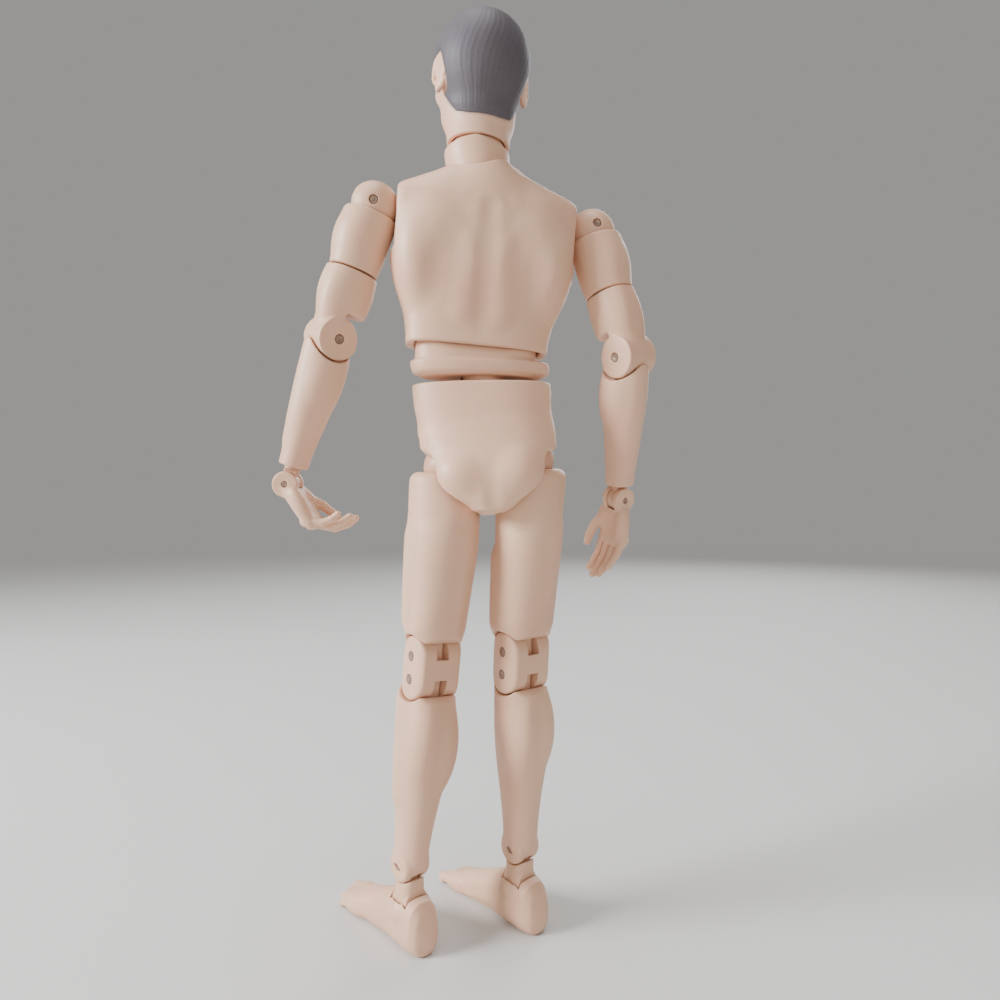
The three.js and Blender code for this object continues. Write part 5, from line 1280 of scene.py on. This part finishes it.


# Pupils and lash lines are dark paint; the nostrils and the crease between the lips get painted shade from the same
# dark colour.
def mark_paint_and_shade(v):
    e = eye_dist(v)
    r = np.sqrt((e[:, 0]) ** 2 + (e[:, 2] - 0.1) ** 2)
    pupil = mark_white(v) * np.clip((0.62 - r) / 0.2, 0, 1)
    u = np.clip(np.abs(e[:, 0]) / 2.8, 0, 1)
    zz = e[:, 2] - EYE_SLANT * e[:, 0]
    lash = np.clip(1.2 - np.abs(zz - (LID_UP * (1 - u ** 2) + 0.14)) / 0.3, 0, 1) * (e[:, 1] < -1.0) * (np.abs(e[:, 0]) < 2.9)
    q = mirror(v)
    # painted shade: the nostril hollows are darkened as if in shadow
    nostril_shade = np.clip(1 - ell(q, (0.95, -17.7, 19.4), (0.5, 0.75, 0.5)) / 0.2, 0, 1) * (v[:, 2] < 19.9) * 0.6
    # painted shade: the groove between the lips is darkened as if in shadow
    mouth_crease_shade = np.clip(1.3 - np.abs(v[:, 2] - 15.68) / 0.26, 0, 1) * np.clip((4.5 - q[:, 0]) / 0.5, 0, 1) * (v[:, 1] < -14) * 0.42
    return np.maximum(np.maximum(pupil, lash * 0.75), np.maximum(nostril_shade, mouth_crease_shade))


def mark_brow(v):
    q = mirror(v) * np.array([1.0, 0.0, 1.0])
    d = chain(q, [(2.6, 0, 30.3), (5.6, 0, 31.1), (9.2, 0, 30.4)], [0.6, 0.6, 0.25], 0.2)
    return np.clip(0.6 - d / 0.6, 0, 1) * 0.75 * (v[:, 1] < -9)


def mark_scalp(v):
    return np.clip(-hair_edge(v) / 1.3 + 0.55, 0, 1)


def mark_none(v):
    return np.zeros(len(v))


# the dark mark is pupil and lash paint plus painted shade in the nostrils and the crease between the lips
piece("head_face", "head", ["head"], face_field, HEAD_M, (-17, -21, 3), (17, 18, 49), 0.27, FACE,
      marks={"lips": mark_lips, "eye_white": mark_white, "iris": mark_iris, "dark": mark_paint_and_shade, "glint": mark_none, "brow": mark_brow, "scalp": mark_scalp})


def flow(v):
    d = v - np.array(CROWN)
    return np.arctan2(d[:, 0], -d[:, 1]) + 0.02 * np.sqrt((d ** 2).sum(1))


def fall(v):
    d = v - np.array(CROWN)
    return np.sqrt((d ** 2).sum(1)) / 8


piece("head_hair", "head", [], hair_field, HEAD_M, (-16.5, -18, 7), (16.5, 19, 49.5), 0.27, HAIR,
      marks={"flow": flow, "fall": fall})

# hidden CAD solids keep their shape and get the joint plastic's finish
for name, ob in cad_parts.items():
    if not ob.hide_render:
        ob.data.materials.clear()
        ob.data.materials.append(PIN_MAT if name.endswith("_pin") else JOINT)

# ----------------------------------------------------------------------- stage


def floor_material():
    mat, nt, bsdf = new_material("floor_paper")
    tc = nt.nodes.new("ShaderNodeTexCoord")
    n = node(nt, "ShaderNodeTexNoise", Scale=3.0, Detail=3.0, Roughness=0.5)
    nt.links.new(tc.outputs["Object"], n.inputs["Vector"])
    c = mix(nt, n.outputs["Fac"], (0.60, 0.59, 0.575, 1), (0.635, 0.625, 0.61, 1))
    nt.links.new(c, bsdf.inputs["Base Color"])
    bsdf.inputs["Roughness"].default_value = 0.85
    bsdf.inputs["Specular IOR Level"].default_value = 0.2
    # the paper fades away far from the figure, so that no edge shows
    far = nt.nodes.new("ShaderNodeVectorMath")
    far.operation = "LENGTH"
    nt.links.new(tc.outputs["Object"], far.inputs[0])
    fade = nt.nodes.new("ShaderNodeMapRange")
    fade.interpolation_type = "SMOOTHSTEP"
    fade.inputs["From Min"].default_value, fade.inputs["From Max"].default_value = 0.25, 2.2
    fade.inputs["To Min"].default_value, fade.inputs["To Max"].default_value = 1.0, 0.0
    nt.links.new(far.outputs["Value"], fade.inputs["Value"])
    nt.links.new(fade.outputs[0], bsdf.inputs["Alpha"])
    return mat


me = bpy.data.meshes.new("floor")
R = 4.0
me.from_pydata([(-R, -R, 0), (R, -R, 0), (R, R, 0), (-R, R, 0)], [], [(0, 1, 2, 3)])
floor = bpy.data.objects.new("floor", me)
bpy.context.scene.collection.objects.link(floor)
floor.data.materials.append(floor_material())

world = bpy.data.worlds.new("studio")
world.use_nodes = True
bg = world.node_tree.nodes["Background"]
bg.inputs[0].default_value = (0.84, 0.825, 0.80, 1)
bg.inputs[1].default_value = 0.4
bpy.context.scene.world = world


def area(name, at, target, size, power, colour=(1, 1, 1)):
    data = bpy.data.lights.new(name, "AREA")
    data.shape = "DISK"
    data.size, data.energy, data.color = size, power, colour
    ob = bpy.data.objects.new(name, data)
    bpy.context.scene.collection.objects.link(ob)
    from mathutils import Vector
    ob.location = at
    ob.rotation_euler = (Vector(target) - Vector(at)).to_track_quat("-Z", "Y").to_euler()
    return ob


area("key", (1.15, 0.36, 0.62), (0, 0, 0.15), 0.5, 34, (0.96, 0.98, 1.0))
area("back_fill", (-0.35, 1.3, 0.5), (0, 0, 0.15), 0.8, 5, (1.0, 0.92, 0.82))
area("front_fill", (-0.5, -1.1, 0.75), (0, 0, 0.15), 0.9, 11, (0.97, 0.98, 1.0))
area("top", (0.1, 0.1, 1.3), (0, 0, 0.1), 0.7, 8, (0.98, 0.98, 1.0))

cam = bpy.data.cameras.new("camera")
cam.sensor_width = 36
cam.lens = 26.07
cam.clip_start = 0.01
camera = bpy.data.objects.new("camera", cam)
bpy.context.scene.collection.objects.link(camera)
camera.location = ((-4.79 - ORIGIN[0]) / 1000, (231 - ORIGIN[1]) / 1000, 0.139)
camera.rotation_euler = (math.radians(90), 0, math.radians(180))
bpy.context.scene.camera = camera

print("pieces", len(STATS), "vertices", sum(n for _, n in STATS), STATS)
